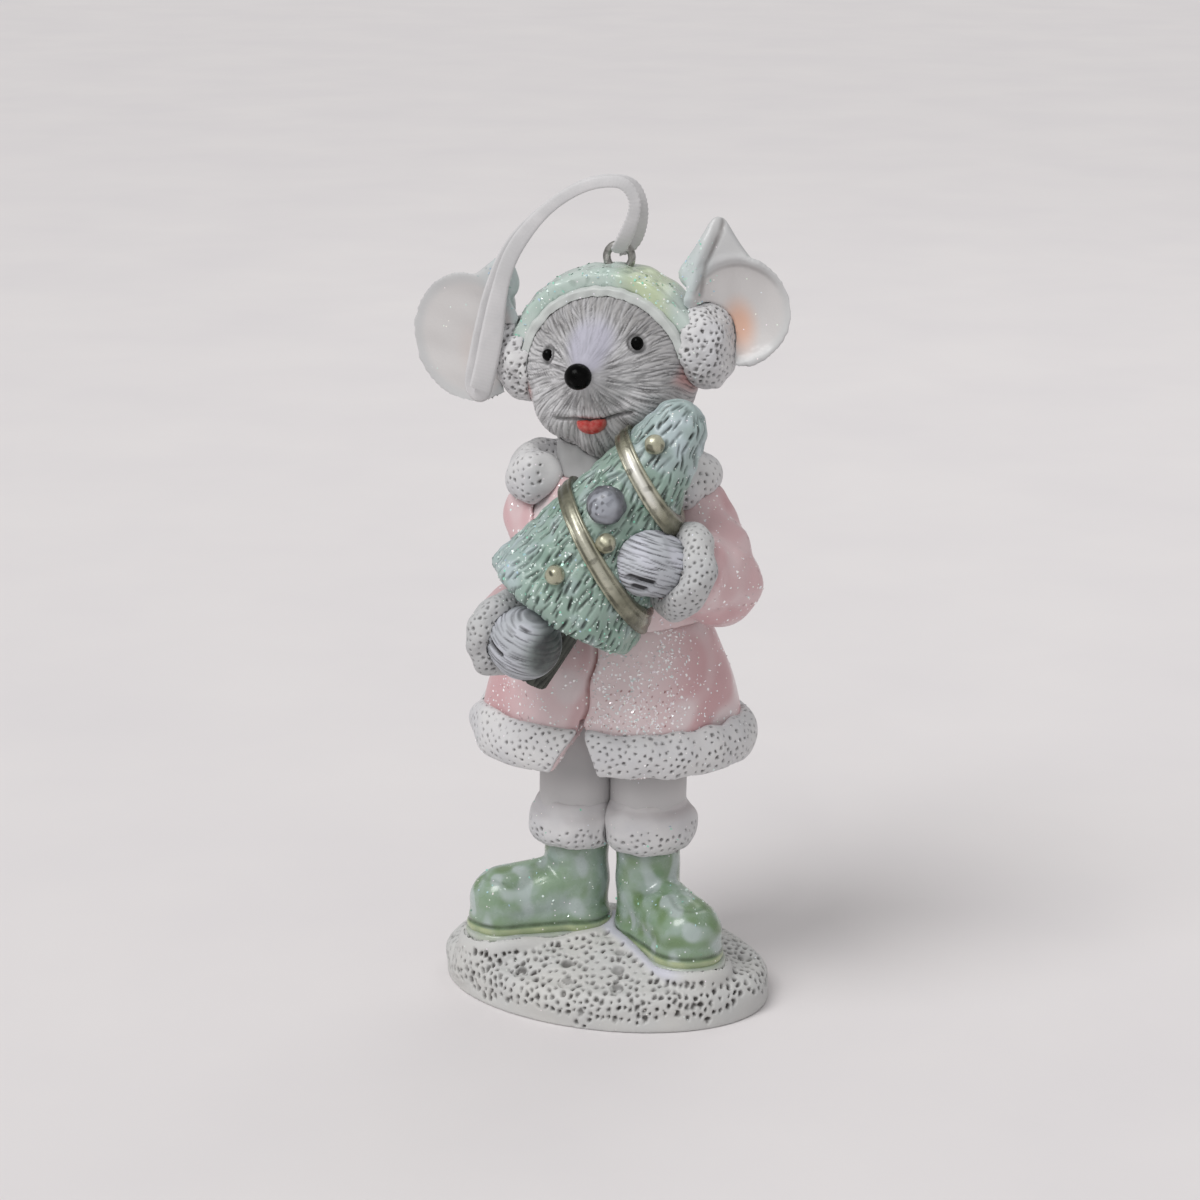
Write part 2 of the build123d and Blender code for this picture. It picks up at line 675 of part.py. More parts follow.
def make_paw(side, *neighbours):
    direction = Vector(*PAW_DIRECTION[side]).normalized()
    heel = paw_center(side) - direction * (PAW_LENGTH[side] - PAW_WRIST_DIA[side]) / 2
    fingers = paw_center(side) + direction * (PAW_LENGTH[side] - PAW_TIP_DIA[side]) / 2
    return carve(limb(heel, fingers, PAW_WRIST_DIA[side], PAW_TIP_DIA[side]), *neighbours)


def make_sleeve_cuff(side, *neighbours):
    roll_radius = SLEEVE_CUFF_ROLL_DIA / 2
    ring = Torus(SLEEVE_CUFF_DIA[side] / 2 - roll_radius, roll_radius)
    place = Plane(origin=wrist(side), z_dir=PAW_DIRECTION[side]).location
    return carve(main_lump(place * ring), *neighbours)


def corner_radii(points):
    """Largest fitting arc at each corner of a route."""
    radii = []
    for before, point, after in zip(points, points[1:], points[2:]):
        run_in = point - before
        run_out = after - point
        turn = radians(run_in.get_angle(run_out))
        radii.append(RIBBON_CORNER_SHARE * min(run_in.length, run_out.length) / tan(turn / 2))
    return radii


def make_ribbon():
    points = [Vector(*point) for point in RIBBON_ROUTE]
    radii = corner_radii(points)
    path = FilletPolyline(*points, radius=radii).wire()
    section = Plane(origin=path.position_at(0), z_dir=path.tangent_at(0)) * Circle(RIBBON_TUBE_DIA / 2)
    tube = main_lump(sweep(section, path))
    print("ribbon radii", [round(radius, 1) for radius in radii])
    print("ribbon length", round(path.length, 1), "volume ratio",
          round(tube.volume / (section.area * path.length), 4))
    return tube


def build():
    """All pieces by name, the larger ones first, each cut by those it rests against."""
    soles = {side: make_sole(side, SOLE_THICK) for side in SIDES}
    boots = {side: make_boot(side) for side in SIDES}
    legs = {side: make_trouser(side) for side in SIDES}
    pieces = {"snow_base": make_base()}
    skirt = make_skirt(legs.values())
    coat = make_coat_body()
    head_local = head_form()
    head_at = head_place()
    eye = make_screw_eye()
    eye_local = head_at.inverse() * eye
    head = carve(head_at * head_local, eye)
    for side in SIDES:
        pieces["sole_" + side] = soles[side]
        pieces["boot_" + side] = boots[side]
        pieces["trouser_" + side] = legs[side]
        pieces["trouser_cuff_" + side] = make_trouser_cuff(side, legs[side], boots[side])
    pieces["coat_skirt"] = skirt
    pieces["coat_hem"] = make_hem()
    pieces["coat_body"] = coat
    neck = make_neck(head)
    tree = carve(tree_form(), coat, skirt_form(), head, neck)
    trunk = make_trunk(tree, coat, skirt_form(), pieces["coat_hem"])
    sleeves = {side: make_sleeve(side, coat, skirt_form(), tree, trunk, head) for side in SIDES}
    paws = {}
    cuffs = {}
    for side in SIDES:
        held = (tree, trunk, coat, skirt_form(), sleeves[side])
        paws[side] = make_paw(side, *held)
        cuffs[side] = make_sleeve_cuff(side, paws[side], *held)
    collar = make_collar(coat, head, neck, tree, *sleeves.values())
    pieces["fur_collar"] = collar
    pieces["neck"] = neck
    for side in SIDES:
        pieces["sleeve_" + side] = sleeves[side]
        pieces["sleeve_cuff_" + side] = cuffs[side]
        pieces["paw_" + side] = paws[side]
    pieces["tree"] = tree
    pieces["tree_trunk"] = trunk
    around_tree = (tree, coat, collar, neck, head, *sleeves.values(), *paws.values(), *cuffs.values())
    pieces["garland_upper"] = make_garland(GARLAND_UPPER_ALONG, *around_tree)
    pieces["garland_lower"] = make_garland(GARLAND_LOWER_ALONG, *around_tree)
    garlands = pieces["garland_upper"] + pieces["garland_lower"]
    balls = [make_ball(tree, spot, GOLD_BALL_DIA) for spot in GOLD_BALL_SPOTS]
    pieces["tree_baubles"] = Compound(children=[carve(ball, garlands, *paws.values()) for ball in balls])
    pieces["tree_big_bauble"] = carve(make_ball(tree, BIG_BALL_SPOT, BIG_BALL_DIA), garlands)
    pieces["head"] = head
    pieces["nose"] = head_at * make_nose(head_local)
    for side in SIDES:
        pieces["eye_" + side] = head_at * make_eye(head_local, side)
    pieces["tongue"] = head_at * make_tongue(head_local)
    band = make_headband(head_local, eye_local)
    lining = make_lining(head_local)
    pieces["headband"] = head_at * band
    pieces["headband_lining"] = head_at * lining
    for side in SIDES:
        muff = make_earmuff(side, head_local, band, lining)
        pieces["earmuff_" + side] = head_at * muff
        pieces["ear_" + side] = head_at * make_ear(side, head_local, band, lining, muff)
    pieces["screw_eye"] = eye
    pieces["hanging_ribbon"] = make_ribbon()
    return pieces


os.makedirs("parts", exist_ok=True)
for name, piece in build().items():
    export_step(piece, "parts/" + name + ".step")
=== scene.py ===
import logging
import math
from dataclasses import dataclass
from enum import Enum
from typing import Any, Optional, Sequence

import bpy
import numpy as np
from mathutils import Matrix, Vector
from mathutils.kdtree import KDTree


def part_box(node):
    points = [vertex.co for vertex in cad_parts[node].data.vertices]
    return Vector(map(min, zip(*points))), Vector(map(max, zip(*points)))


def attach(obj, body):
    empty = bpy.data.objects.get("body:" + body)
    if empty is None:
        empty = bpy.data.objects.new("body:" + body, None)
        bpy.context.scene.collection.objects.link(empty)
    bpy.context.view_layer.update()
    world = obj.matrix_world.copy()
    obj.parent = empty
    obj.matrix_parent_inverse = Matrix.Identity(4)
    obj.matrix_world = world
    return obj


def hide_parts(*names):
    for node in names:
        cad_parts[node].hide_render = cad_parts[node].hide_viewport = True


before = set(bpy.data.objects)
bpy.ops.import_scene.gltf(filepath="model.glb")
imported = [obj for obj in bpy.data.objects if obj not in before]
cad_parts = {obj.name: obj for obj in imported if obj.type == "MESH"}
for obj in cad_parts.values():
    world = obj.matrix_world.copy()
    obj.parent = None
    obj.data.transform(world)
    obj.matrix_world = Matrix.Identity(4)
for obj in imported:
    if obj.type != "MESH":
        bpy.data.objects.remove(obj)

# Mouse figurine ornament in painted resin. Sizes are millimetres unless a name says otherwise.
# +Z is up, the figure faces -Y, and left and right are the viewer's.

LOG = logging.getLogger("mouse_ornament")
MM = 0.001
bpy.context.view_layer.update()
FIGURE_BODY = "figurine"
HANGER_BODY = "hanger"
# Masks that the finishes read: how deep a point is carved, with painted shade laid into the same mask in some
# pieces, and the hue of a flake.
CARVE_AND_SHADE = "carve"
HUE = "hue"
# Half width of a trouser leg.
LEG_HALF = 5.95

Colour = tuple[float, float, float]
Point = tuple[float, float, float]


def paint(red: int, green: int, blue: int) -> Colour:
    """Linear colour of a paint given as display values from 0 to 255."""
    return tuple(((c / 255 + 0.055) / 1.055) ** 2.4 if c > 10 else c / 3294.6 for c in (red, green, blue))


def smooth_step(low: float, high: float, values: np.ndarray) -> np.ndarray:
    """Soft ramp from 0 at low to 1 at high."""
    t = np.clip((values - low) / (high - low), 0.0, 1.0)
    return t * t * (3.0 - 2.0 * t)


def ripple(points: np.ndarray, size: float, seed: int, waves: int = 9) -> np.ndarray:
    """Smooth uneven field, about -1 to 1.

    Args:
        points: places to read the field at.
        size: typical length of a swell.
        seed: seed of the field.
        waves: number of plane waves that are added up.

    Returns:
        One value for each point.
    """
    rng = np.random.default_rng(seed)
    total = np.zeros(len(points))
    for _ in range(waves):
        direction = rng.normal(size=3)
        direction /= np.linalg.norm(direction)
        rate = 2 * math.pi / size * rng.uniform(0.6, 1.5)
        total += np.sin(points @ direction * rate + rng.uniform(0, 2 * math.pi))
    return total / math.sqrt(waves / 2) / 1.6


def patches(points: np.ndarray, size: float, seed: int, low: float, high: float) -> np.ndarray:
    """Soft patches where an uneven field of a swell size rises from low to high."""
    return smooth_step(low, high, ripple(points, size, seed))


def ridge(off: np.ndarray, width: float) -> np.ndarray:
    """Soft line, 1 where off is 0 and gone a few widths away."""
    return np.exp(-(off / width) ** 2)


def pick(*objects: bpy.types.Object) -> None:
    """Selects only these objects and makes the first one active.

    Args:
        objects: what is selected.
    """
    bpy.ops.object.select_all(action="DESELECT")
    for item in objects:
        item.select_set(True)
    bpy.context.view_layer.objects.active = objects[0]


class Side(Enum):
    """Viewer's side of the figure."""

    LEFT = "left"
    RIGHT = "right"

    @property
    def sign(self) -> float:
        """-1 on the viewer's left, 1 on the right."""
        return -1.0 if self is Side.LEFT else 1.0

    def of(self, pair: Sequence[Any]) -> Any:
        """This side's one of a pair."""
        return pair[0 if self is Side.LEFT else 1]


@dataclass(frozen=True)
class Axes:
    """Own frame of a piece: its origin and its three directions."""

    origin: np.ndarray
    right: np.ndarray
    back: np.ndarray
    up: np.ndarray

    @classmethod
    def along(cls, origin: Sequence[float], up: Sequence[float], right: Sequence[float]) -> "Axes":
        """Frame with its up direction along an axis and right as near as it goes to a hint.

        Args:
            origin: origin of the frame.
            up: its up direction, of any length.
            right: hint for its right direction.

        Returns:
            The frame.
        """
        up_unit = np.array(up, float) / np.linalg.norm(up)
        flat = np.array(right, float) - up_unit * np.dot(right, up_unit)
        right_unit = flat / np.linalg.norm(flat)
        return cls(np.array(origin, float), right_unit, np.cross(up_unit, right_unit), up_unit)

    def local(self, points: np.ndarray) -> np.ndarray:
        """Points in this frame."""
        return (points - self.origin) @ np.stack([self.right, self.back, self.up], axis=1)

    def turn(self, vectors: np.ndarray) -> np.ndarray:
        """Directions in this frame."""
        return vectors @ np.stack([self.right, self.back, self.up], axis=1)

    def place(self, spot: Sequence[float]) -> np.ndarray:
        """Place of a point that is given in this frame."""
        return self.origin + self.right * spot[0] + self.back * spot[1] + self.up * spot[2]


def box_mm(node: str) -> tuple[np.ndarray, np.ndarray]:
    """Lowest and highest corner of a CAD solid."""
    low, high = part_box(node)
    return np.array(low) / MM, np.array(high) / MM


def middle_mm(node: str) -> np.ndarray:
    """Middle of a CAD solid's box."""
    low, high = box_mm(node)
    return (low + high) / 2


class Recipe:
    """Node tree in the making, with short ways to add to it."""

    def __init__(self, tree: bpy.types.NodeTree) -> None:
        """Starts on an empty tree."""
        self.tree = tree
        tree.nodes.clear()

    def add(self, kind: str, inputs: Optional[dict[Any, Any]] = None, **settings: Any) -> bpy.types.Node:
        """Adds a node.

        Args:
            kind: the node's type.
            inputs: values, or sockets to link, by input name or number.
            settings: the node's own options.

        Returns:
            The new node.
        """
        node = self.tree.nodes.new(kind)
        for name, value in settings.items():
            setattr(node, name, value)
        for name, value in (inputs or {}).items():
            socket = node.inputs[name]
            if isinstance(value, bpy.types.NodeSocket):
                self.tree.links.new(value, socket)
            elif isinstance(value, tuple) and len(value) == 3 and socket.type == "RGBA":
                socket.default_value = (*value, 1.0)
            else:
                socket.default_value = value
        return node

    def blend(self, share: Any, first: Any, second: Any) -> bpy.types.NodeSocket:
        """Colour between two others."""
        inputs = {0: share, 6: first, 7: second}
        return self.add("ShaderNodeMix", inputs, data_type="RGBA").outputs[2]

    def sum(self, operation: str, first: Any, second: Any) -> bpy.types.NodeSocket:
        """Result of an arithmetic node, clamped."""
        inputs = {0: first, 1: second}
        return self.add("ShaderNodeMath", inputs, operation=operation, use_clamp=True).outputs[0]

    def ramp(self, value: Any, low: float, high: float, to_low: float = 0.0,
             to_high: float = 1.0) -> bpy.types.NodeSocket:
        """Value taken from one range to another, clamped."""
        inputs = {"Value": value, "From Min": low, "From Max": high, "To Min": to_low, "To Max": to_high}
        return self.add("ShaderNodeMapRange", inputs).outputs[0]

    def place(self) -> bpy.types.NodeSocket:
        """Object coordinates."""
        return self.add("ShaderNodeTexCoord").outputs["Object"]

    def noise(self, size: float, detail: float = 3.0, rough: float = 0.55) -> bpy.types.NodeSocket:
        """Cloudy values with swells of about a size."""
        inputs = {"Vector": self.place(), "Scale": 1 / (size * MM), "Detail": detail, "Roughness": rough}
        return self.add("ShaderNodeTexNoise", inputs).outputs["Fac"]

    def mask(self, name: str) -> bpy.types.NodeSocket:
        """Painted mask of the piece."""
        return self.add("ShaderNodeAttribute", attribute_name=name).outputs["Fac"]

    def bump(self, height: Any, depth: float, strength: float = 1.0) -> bpy.types.NodeSocket:
        """Normal over a fine relief of a depth."""
        inputs = {"Height": height, "Distance": depth * MM, "Strength": strength}
        return self.add("ShaderNodeBump", inputs).outputs["Normal"]

    def effect(self, tree: bpy.types.NodeTree, inputs: dict[str, Any]) -> Any:
        """Outputs of a shared effect, placed with a finish's own values."""
        return self.add("ShaderNodeGroup", inputs, node_tree=tree).outputs

    def surface(self, inputs: dict[str, Any]) -> None:
        """Ends a material with its shader."""
        shader = self.add("ShaderNodeBsdfPrincipled", inputs)
        self.add("ShaderNodeOutputMaterial", {"Surface": shader.outputs[0]})


def blank_material(name: str) -> tuple[bpy.types.Material, Recipe]:
    """New material and the recipe that fills it.

    Args:
        name: the material's name.

    Returns:
        The material and its recipe.
    """
    material = bpy.data.materials.new(name)
    material.use_nodes = True
    return material, Recipe(material.node_tree)


class Effects:
    """Effects that several finishes share, as node groups made once."""

    made: dict[str, bpy.types.NodeTree] = {}

    @classmethod
    def group(cls, name: str, inputs: Sequence[tuple[str, str]],
              outputs: Sequence[tuple[str, str]]) -> tuple[Recipe, bpy.types.Node, bpy.types.Node]:
        """Starts a group.

        Args:
            name: the group's name.
            inputs: names and kinds of what it takes.
            outputs: names and kinds of what it puts out.

        Returns:
            The recipe, the group's input node and its output node.
        """
        tree = bpy.data.node_groups.new(name, "ShaderNodeTree")
        for label, kind in inputs:
            tree.interface.new_socket(name=label, in_out="INPUT", socket_type=kind)
        for label, kind in outputs:
            tree.interface.new_socket(name=label, in_out="OUTPUT", socket_type=kind)
        recipe = Recipe(tree)
        cls.made[name] = tree
        return recipe, recipe.add("NodeGroupInput"), recipe.add("NodeGroupOutput")

    @classmethod
    def dark_wash_and_shade(cls) -> bpy.types.NodeTree:
        """Thin dark paint that stays in what is carved, patchy as a wiped wash is; it also lays the painted
        shade that some pieces put into the same mask.

        Returns:
            The node group.
        """
        if "dark_wash_and_shade" not in cls.made:
            colour, value = "NodeSocketColor", "NodeSocketFloat"
            inputs = [("Paint", colour), ("Wash", colour), ("Depth", value), ("Strength", value)]
            recipe, given, out = cls.group("dark_wash_and_shade", inputs, [("Colour", colour)])
            patchy = recipe.ramp(recipe.noise(2.6), 0.3, 0.62, 0.45, 1.0)
            share = recipe.sum("MULTIPLY", recipe.ramp(given.outputs["Depth"], 0.08, 0.75), patchy)
            share = recipe.sum("MULTIPLY", share, given.outputs["Strength"])
            washed = recipe.blend(share, given.outputs["Paint"], given.outputs["Wash"])
            recipe.tree.links.new(washed, out.inputs["Colour"])
        return cls.made["dark_wash_and_shade"]

    @classmethod
    def cloudy(cls) -> bpy.types.NodeTree:
        """Soft patches where a second paint shows.

        Returns:
            The node group.
        """
        if "cloudy" not in cls.made:
            value = "NodeSocketFloat"
            recipe, given, out = cls.group("cloudy", [("Scale", value), ("Share", value)], [("Mask", value)])
            inputs = {"Vector": recipe.place(), "Scale": given.outputs["Scale"], "Detail": 3.0}
            cloud = recipe.add("ShaderNodeTexNoise", inputs).outputs["Fac"]
            patch = recipe.ramp(cloud, 0.36, 0.64)
            recipe.tree.links.new(recipe.sum("MULTIPLY", patch, given.outputs["Share"]), out.inputs["Mask"])
        return cls.made["cloudy"]

    @classmethod
    def specks(cls) -> bpy.types.NodeTree:
        """Fine glitter dust: scattered specks with shifting pale colours.

        Returns:
            The node group.
        """
        if "specks" not in cls.made:
            value, colour = "NodeSocketFloat", "NodeSocketColor"
            outputs = [("Mask", value), ("Colour", colour)]
            recipe, given, out = cls.group("specks", [("Scale", value), ("Share", value)], outputs)
            inputs = {"Vector": recipe.place(), "Scale": given.outputs["Scale"]}
            cells = recipe.add("ShaderNodeTexVoronoi", inputs, feature="F1")
            spread = recipe.add("ShaderNodeSeparateColor", {0: cells.outputs["Color"]})
            chosen = recipe.sum("LESS_THAN", spread.outputs[0], given.outputs["Share"])
            near = recipe.ramp(cells.outputs["Distance"], 0.30, 0.22)
            hue = recipe.add("ShaderNodeHueSaturation", {
                "Hue": spread.outputs[1], "Saturation": 0.35, "Value": 1.0, "Color": paint(215, 250, 240)})
            recipe.tree.links.new(recipe.sum("MULTIPLY", chosen, near), out.inputs["Mask"])
            recipe.tree.links.new(hue.outputs["Color"], out.inputs["Colour"])
        return cls.made["specks"]


@dataclass(frozen=True)
class PaintedResin:
    """Hand-painted cast resin: a base paint, clouds of a second one, masks (some of them painted shade or a
    painted highlight), a dark wash that also lays painted shade, and glitter dust.
    """

    name: str
    base: Colour
    second: Colour
    wash: Colour = paint(58, 56, 55)
    cloud_size: float = 7.0
    cloud_share: float = 0.6
    wash_strength: float = 0.85
    masks: tuple[tuple[str, Colour], ...] = ()
    roughness: float = 0.5
    metallic: float = 0.0
    coat: float = 0.0
    grain_size: float = 0.5
    grain_depth: float = 0.025
    dust: float = 0.0
    dust_size: float = 0.42
    dust_gloss: float = 0.3
    rough_size: float = 2.0
    rough_spread: float = 0.08
    coat_roughness: float = 0.12

    def build(self) -> bpy.types.Material:
        """Material of this finish.

        Returns:
            The new material.
        """
        material, recipe = blank_material(self.name)
        clouds = {"Scale": 1 / (self.cloud_size * MM), "Share": self.cloud_share}
        cloud = recipe.effect(Effects.cloudy(), clouds)["Mask"]
        colour = recipe.blend(cloud, self.base, self.second)
        for name, tint in self.masks:
            colour = recipe.blend(recipe.mask(name), colour, tint)
        wash = {"Paint": colour, "Wash": self.wash, "Depth": recipe.mask(CARVE_AND_SHADE),
                "Strength": self.wash_strength}
        colour = recipe.effect(Effects.dark_wash_and_shade(), wash)["Colour"]
        low, high = self.roughness - self.rough_spread, self.roughness + self.rough_spread
        rough = recipe.ramp(recipe.noise(self.rough_size), 0.3, 0.7, low, high)
        if self.dust:
            flecks = {"Scale": 1 / (self.dust_size * MM), "Share": self.dust}
            dust = recipe.effect(Effects.specks(), flecks)
            colour = recipe.blend(dust["Mask"], colour, dust["Colour"])
            gloss = recipe.ramp(dust["Mask"], 0.0, 1.0, 0.0, self.dust_gloss)
            rough = recipe.sum("SUBTRACT", rough, gloss)
        grain = recipe.bump(recipe.noise(self.grain_size, 2.0), self.grain_depth)
        recipe.surface({"Base Color": colour, "Roughness": rough, "Metallic": self.metallic, "Normal": grain,
                        "Coat Weight": self.coat, "Coat Roughness": self.coat_roughness})
        return material


@dataclass(frozen=True)
class FlakeFilm:
    """Glitter flakes: bright film whose colour shifts from flake to flake."""

    name: str
    tints: tuple[Colour, Colour, Colour]
    roughness: float = 0.1
    metallic: float = 0.1
    coat: float = 1.0

    def build(self) -> bpy.types.Material:
        """Material of the flakes.

        Returns:
            The new material.
        """
        material, recipe = blank_material(self.name)
        hue = recipe.mask(HUE)
        colour = recipe.blend(recipe.ramp(hue, 0.55, 0.75), self.tints[0], self.tints[1])
        colour = recipe.blend(recipe.ramp(hue, 0.8, 0.95), colour, self.tints[2])
        recipe.surface({"Base Color": colour, "Roughness": self.roughness, "Metallic": self.metallic,
                        "Coat Weight": self.coat})
        return material


@dataclass(frozen=True)
class Wire:
    """Drawn steel wire, dull in places."""

    name: str = "eye_steel"
    bright: Colour = paint(196, 194, 190)
    dull: Colour = paint(128, 126, 122)
    roughness: tuple[float, float] = (0.24, 0.5)

    def build(self) -> bpy.types.Material:
        """Material of the wire.

        Returns:
            The new material.
        """
        material, recipe = blank_material(self.name)
        worn = recipe.ramp(recipe.noise(0.8), 0.35, 0.7)
        colour = recipe.blend(worn, self.bright, self.dull)
        rough = recipe.ramp(worn, 0.0, 1.0, *self.roughness)
        recipe.surface({"Base Color": colour, "Roughness": rough, "Metallic": 1.0})
        return material


@dataclass(frozen=True)
class WovenRibbon:
    """Narrow white ribbon: cross ribs, a firmer woven edge and a satin sheen."""

    name: str = "ribbon_weave"
    light: Colour = paint(208, 206, 207)
    shade: Colour = paint(196, 195, 196)
    groove: Colour = paint(158, 155, 156)
    selvedge: Colour = paint(226, 224, 225)
    thread_size: float = 0.22
    thread_depth: float = 0.05
    roughness: float = 0.48
    sheen: float = 0.3

    def build(self) -> bpy.types.Material:
        """Material of the ribbon.

        Returns:
            The new material.
        """
        material, recipe = blank_material(self.name)
        edge = recipe.mask("across")
        rib = recipe.mask("rib")
        colour = recipe.blend(recipe.ramp(recipe.noise(5.0), 0.35, 0.65), self.light, self.shade)
        colour = recipe.blend(recipe.ramp(rib, 0.6, 0.0, 0.0, 0.06), colour, self.groove)
        colour = recipe.blend(recipe.ramp(edge, 0.8, 1.0, 0.0, 0.4), colour, self.selvedge)
        threads = recipe.bump(recipe.noise(self.thread_size, 2.0), self.thread_depth, 0.8)
        recipe.surface({"Base Color": colour, "Roughness": self.roughness, "Sheen Weight": self.sheen,
                        "Normal": threads})
        return material


@dataclass(frozen=True)
class Enamel:
    """Glossy brushed-on enamel for the nose, the eyes and the tongue."""

    name: str
    base: Colour
    edge: Colour
    roughness: float = 0.12
    rough_spread: float = 0.14
    gloss: float = 0.5
    brush_size: float = 0.6
    brush_depth: float = 0.04

    def build(self) -> bpy.types.Material:
        """Material of the enamel.

        Returns:
            The new material.
        """
        material, recipe = blank_material(self.name)
        colour = recipe.blend(recipe.ramp(recipe.noise(0.9), 0.4, 0.75), self.base, self.edge)
        colour = recipe.blend(recipe.mask(CARVE_AND_SHADE), colour, self.edge)
        brush = recipe.noise(self.brush_size, 2.0)
        rough = recipe.ramp(brush, 0.3, 0.7, self.roughness, self.roughness + self.rough_spread)
        recipe.surface({"Base Color": colour, "Roughness": rough, "Specular IOR Level": self.gloss,
                        "Normal": recipe.bump(brush, self.brush_depth)})
        return material


@dataclass(frozen=True)
class FloorPaper:
    """Pale matt paper under the figure."""

    name: str = "floor_paper"
    light: Colour = paint(226, 222, 222)
    shade: Colour = paint(222, 218, 219)
    cloud_size: float = 60.0
    roughness: float = 0.9

    def build(self) -> bpy.types.Material:
        """Material of the floor.

        Returns:
            The new material.
        """
        material, recipe = blank_material(self.name)
        cloud = recipe.ramp(recipe.noise(self.cloud_size), 0.3, 0.7)
        colour = recipe.blend(cloud, self.light, self.shade)
        recipe.surface({"Base Color": colour, "Roughness": self.roughness})
        return material


class Palette:
    """Every finish of the ornament, built once."""

    WHITE = paint(212, 211, 211)
    SNOW = PaintedResin(
        "snow_paint", paint(198, 197, 194), paint(189, 190, 190), paint(66, 62, 60), cloud_size=9.0,
        wash_strength=1.0, masks=(("lip", paint(196, 196, 208)),), roughness=0.55, dust=0.015)
    FUR = PaintedResin(
        "white_fur_paint", WHITE, paint(194, 194, 198), paint(72, 69, 68), roughness=0.55, dust=0.03)
    # Greyer copy of the white fur, for the sleeve cuffs: painted shade.
    SHADED_CUFF_FUR = PaintedResin(
        "shaded_cuff_fur_paint", paint(192, 192, 192), paint(176, 177, 179), paint(66, 64, 63), roughness=0.55,
        dust=0.03)
    # Greyer than the white fur: on the trouser legs this is painted shadow under the coat's hem.
    TROUSER = PaintedResin(
        "trouser_paint", paint(176, 176, 176), paint(166, 166, 167), masks=(("pale", WHITE),), roughness=0.5,
        dust=0.01)
    # Its blush mask is partly painted shade (the skirt's sides, the line beside its split, the sleeves) and
    # partly blush paint.
    COAT = PaintedResin(
        "coat_paint", paint(226, 201, 203), paint(224, 208, 208), paint(146, 84, 80), cloud_size=11.0,
        masks=(("blush_and_shade", paint(192, 143, 147)), ("pearl", paint(226, 214, 215))), roughness=0.38, coat=0.25,
        dust=0.13, dust_size=0.5)
    MINT = PaintedResin(
        "mint_pearl", paint(128, 152, 126), paint(156, 172, 166), paint(54, 74, 40), cloud_size=4.0,
        cloud_share=0.95, roughness=0.26, coat=0.6, dust=0.05,
        masks=(("moss", paint(98, 126, 78)), ("pearl", paint(172, 184, 182)),
               ("welt", paint(170, 180, 138))))
    BAND = PaintedResin(
        "band_pearl", paint(182, 200, 191), paint(200, 208, 204), paint(96, 116, 104), cloud_size=6.0,
        masks=(("moss", paint(188, 200, 156)),), roughness=0.3, coat=0.5, dust=0.12)
    WELT = PaintedResin(
        "welt_paint", paint(176, 184, 168), paint(196, 196, 206), paint(92, 112, 78), cloud_size=6.0,
        roughness=0.35, coat=0.3)
    GREY = PaintedResin(
        "grey_fur_paint", paint(206, 205, 206), paint(196, 195, 196), paint(46, 44, 45), cloud_size=4.0,
        wash_strength=0.8, roughness=0.55,
        masks=(("deep", paint(140, 137, 136)), ("pale", paint(196, 195, 198)),
               ("blaze", paint(172, 170, 186)), ("blush_and_shade", paint(196, 140, 136))))
    PAW = PaintedResin(
        "paw_paint", paint(198, 201, 207), paint(188, 191, 198), paint(54, 52, 56), cloud_size=4.0,
        wash_strength=0.85, roughness=0.55,
        masks=(("deep", paint(140, 143, 146)), ("pale", paint(206, 207, 217)),
               ("moss", paint(96, 110, 100)), ("slit", paint(30, 29, 32))))
    TREE = PaintedResin(
        "tree_paint", paint(132, 158, 144), paint(158, 177, 168), paint(14, 28, 22), cloud_size=4.0,
        wash_strength=1.0, masks=(("frost", paint(178, 192, 195)),), roughness=0.42, coat=0.2, dust=0.12)
    # Darker than the trunk's own green: partly painted shade, as it stands in shadow behind the paw.
    TRUNK = PaintedResin(
        "trunk_paint", paint(72, 76, 68), paint(44, 48, 42), paint(14, 15, 12), cloud_size=3.0,
        roughness=0.6)
    GOLD = PaintedResin(
        "silver_gold", paint(184, 182, 160), paint(150, 148, 124), paint(50, 50, 34), cloud_size=2.5,
        masks=(("painted_highlight", paint(240, 238, 230)),), roughness=0.3, metallic=0.4, coat=0.2)
    BAUBLE = PaintedResin(
        "bauble_paint", paint(158, 161, 169), paint(138, 141, 150), paint(48, 47, 52), cloud_size=2.0,
        roughness=0.4, dust=0.05)
    EAR = PaintedResin(
        "ear_paint", paint(199, 199, 199), paint(190, 190, 191), paint(112, 106, 104), cloud_size=8.0,
        masks=(("hollow", paint(206, 203, 202)), ("peach", paint(216, 174, 152)),
               ("pearl", paint(200, 214, 214))), roughness=0.42, coat=0.2, dust=0.02)
    LINING = PaintedResin(
        "lining_paint", paint(200, 204, 201), paint(190, 194, 192), paint(70, 78, 72), cloud_size=4.0,
        roughness=0.45, dust=0.05)
    BLACK = Enamel("black_enamel", (0.001, 0.001, 0.001), (0.003, 0.003, 0.003), gloss=0.06)
    RED = Enamel("red_enamel", paint(182, 52, 48), paint(196, 116, 106), roughness=0.3)
    STEEL = Wire()
    RIBBON = WovenRibbon()
    SILVER_FLAKE = FlakeFilm(
        "silver_flake", (paint(255, 254, 254), paint(248, 236, 242), paint(232, 248, 246)))
    GREEN_FLAKE = FlakeFilm(
        "green_flake", (paint(222, 238, 232), paint(150, 226, 196), paint(190, 214, 236)))
    FLOOR = FloorPaper()

    built: dict[str, bpy.types.Material] = {}

    @classmethod
    def get(cls, finish: Any) -> bpy.types.Material:
        """Material of a finish.

        Args:
            finish: one of the finishes above.

        Returns:
            Its material, built on first use.
        """
        if finish.name not in cls.built:
            cls.built[finish.name] = finish.build()
        return cls.built[finish.name]


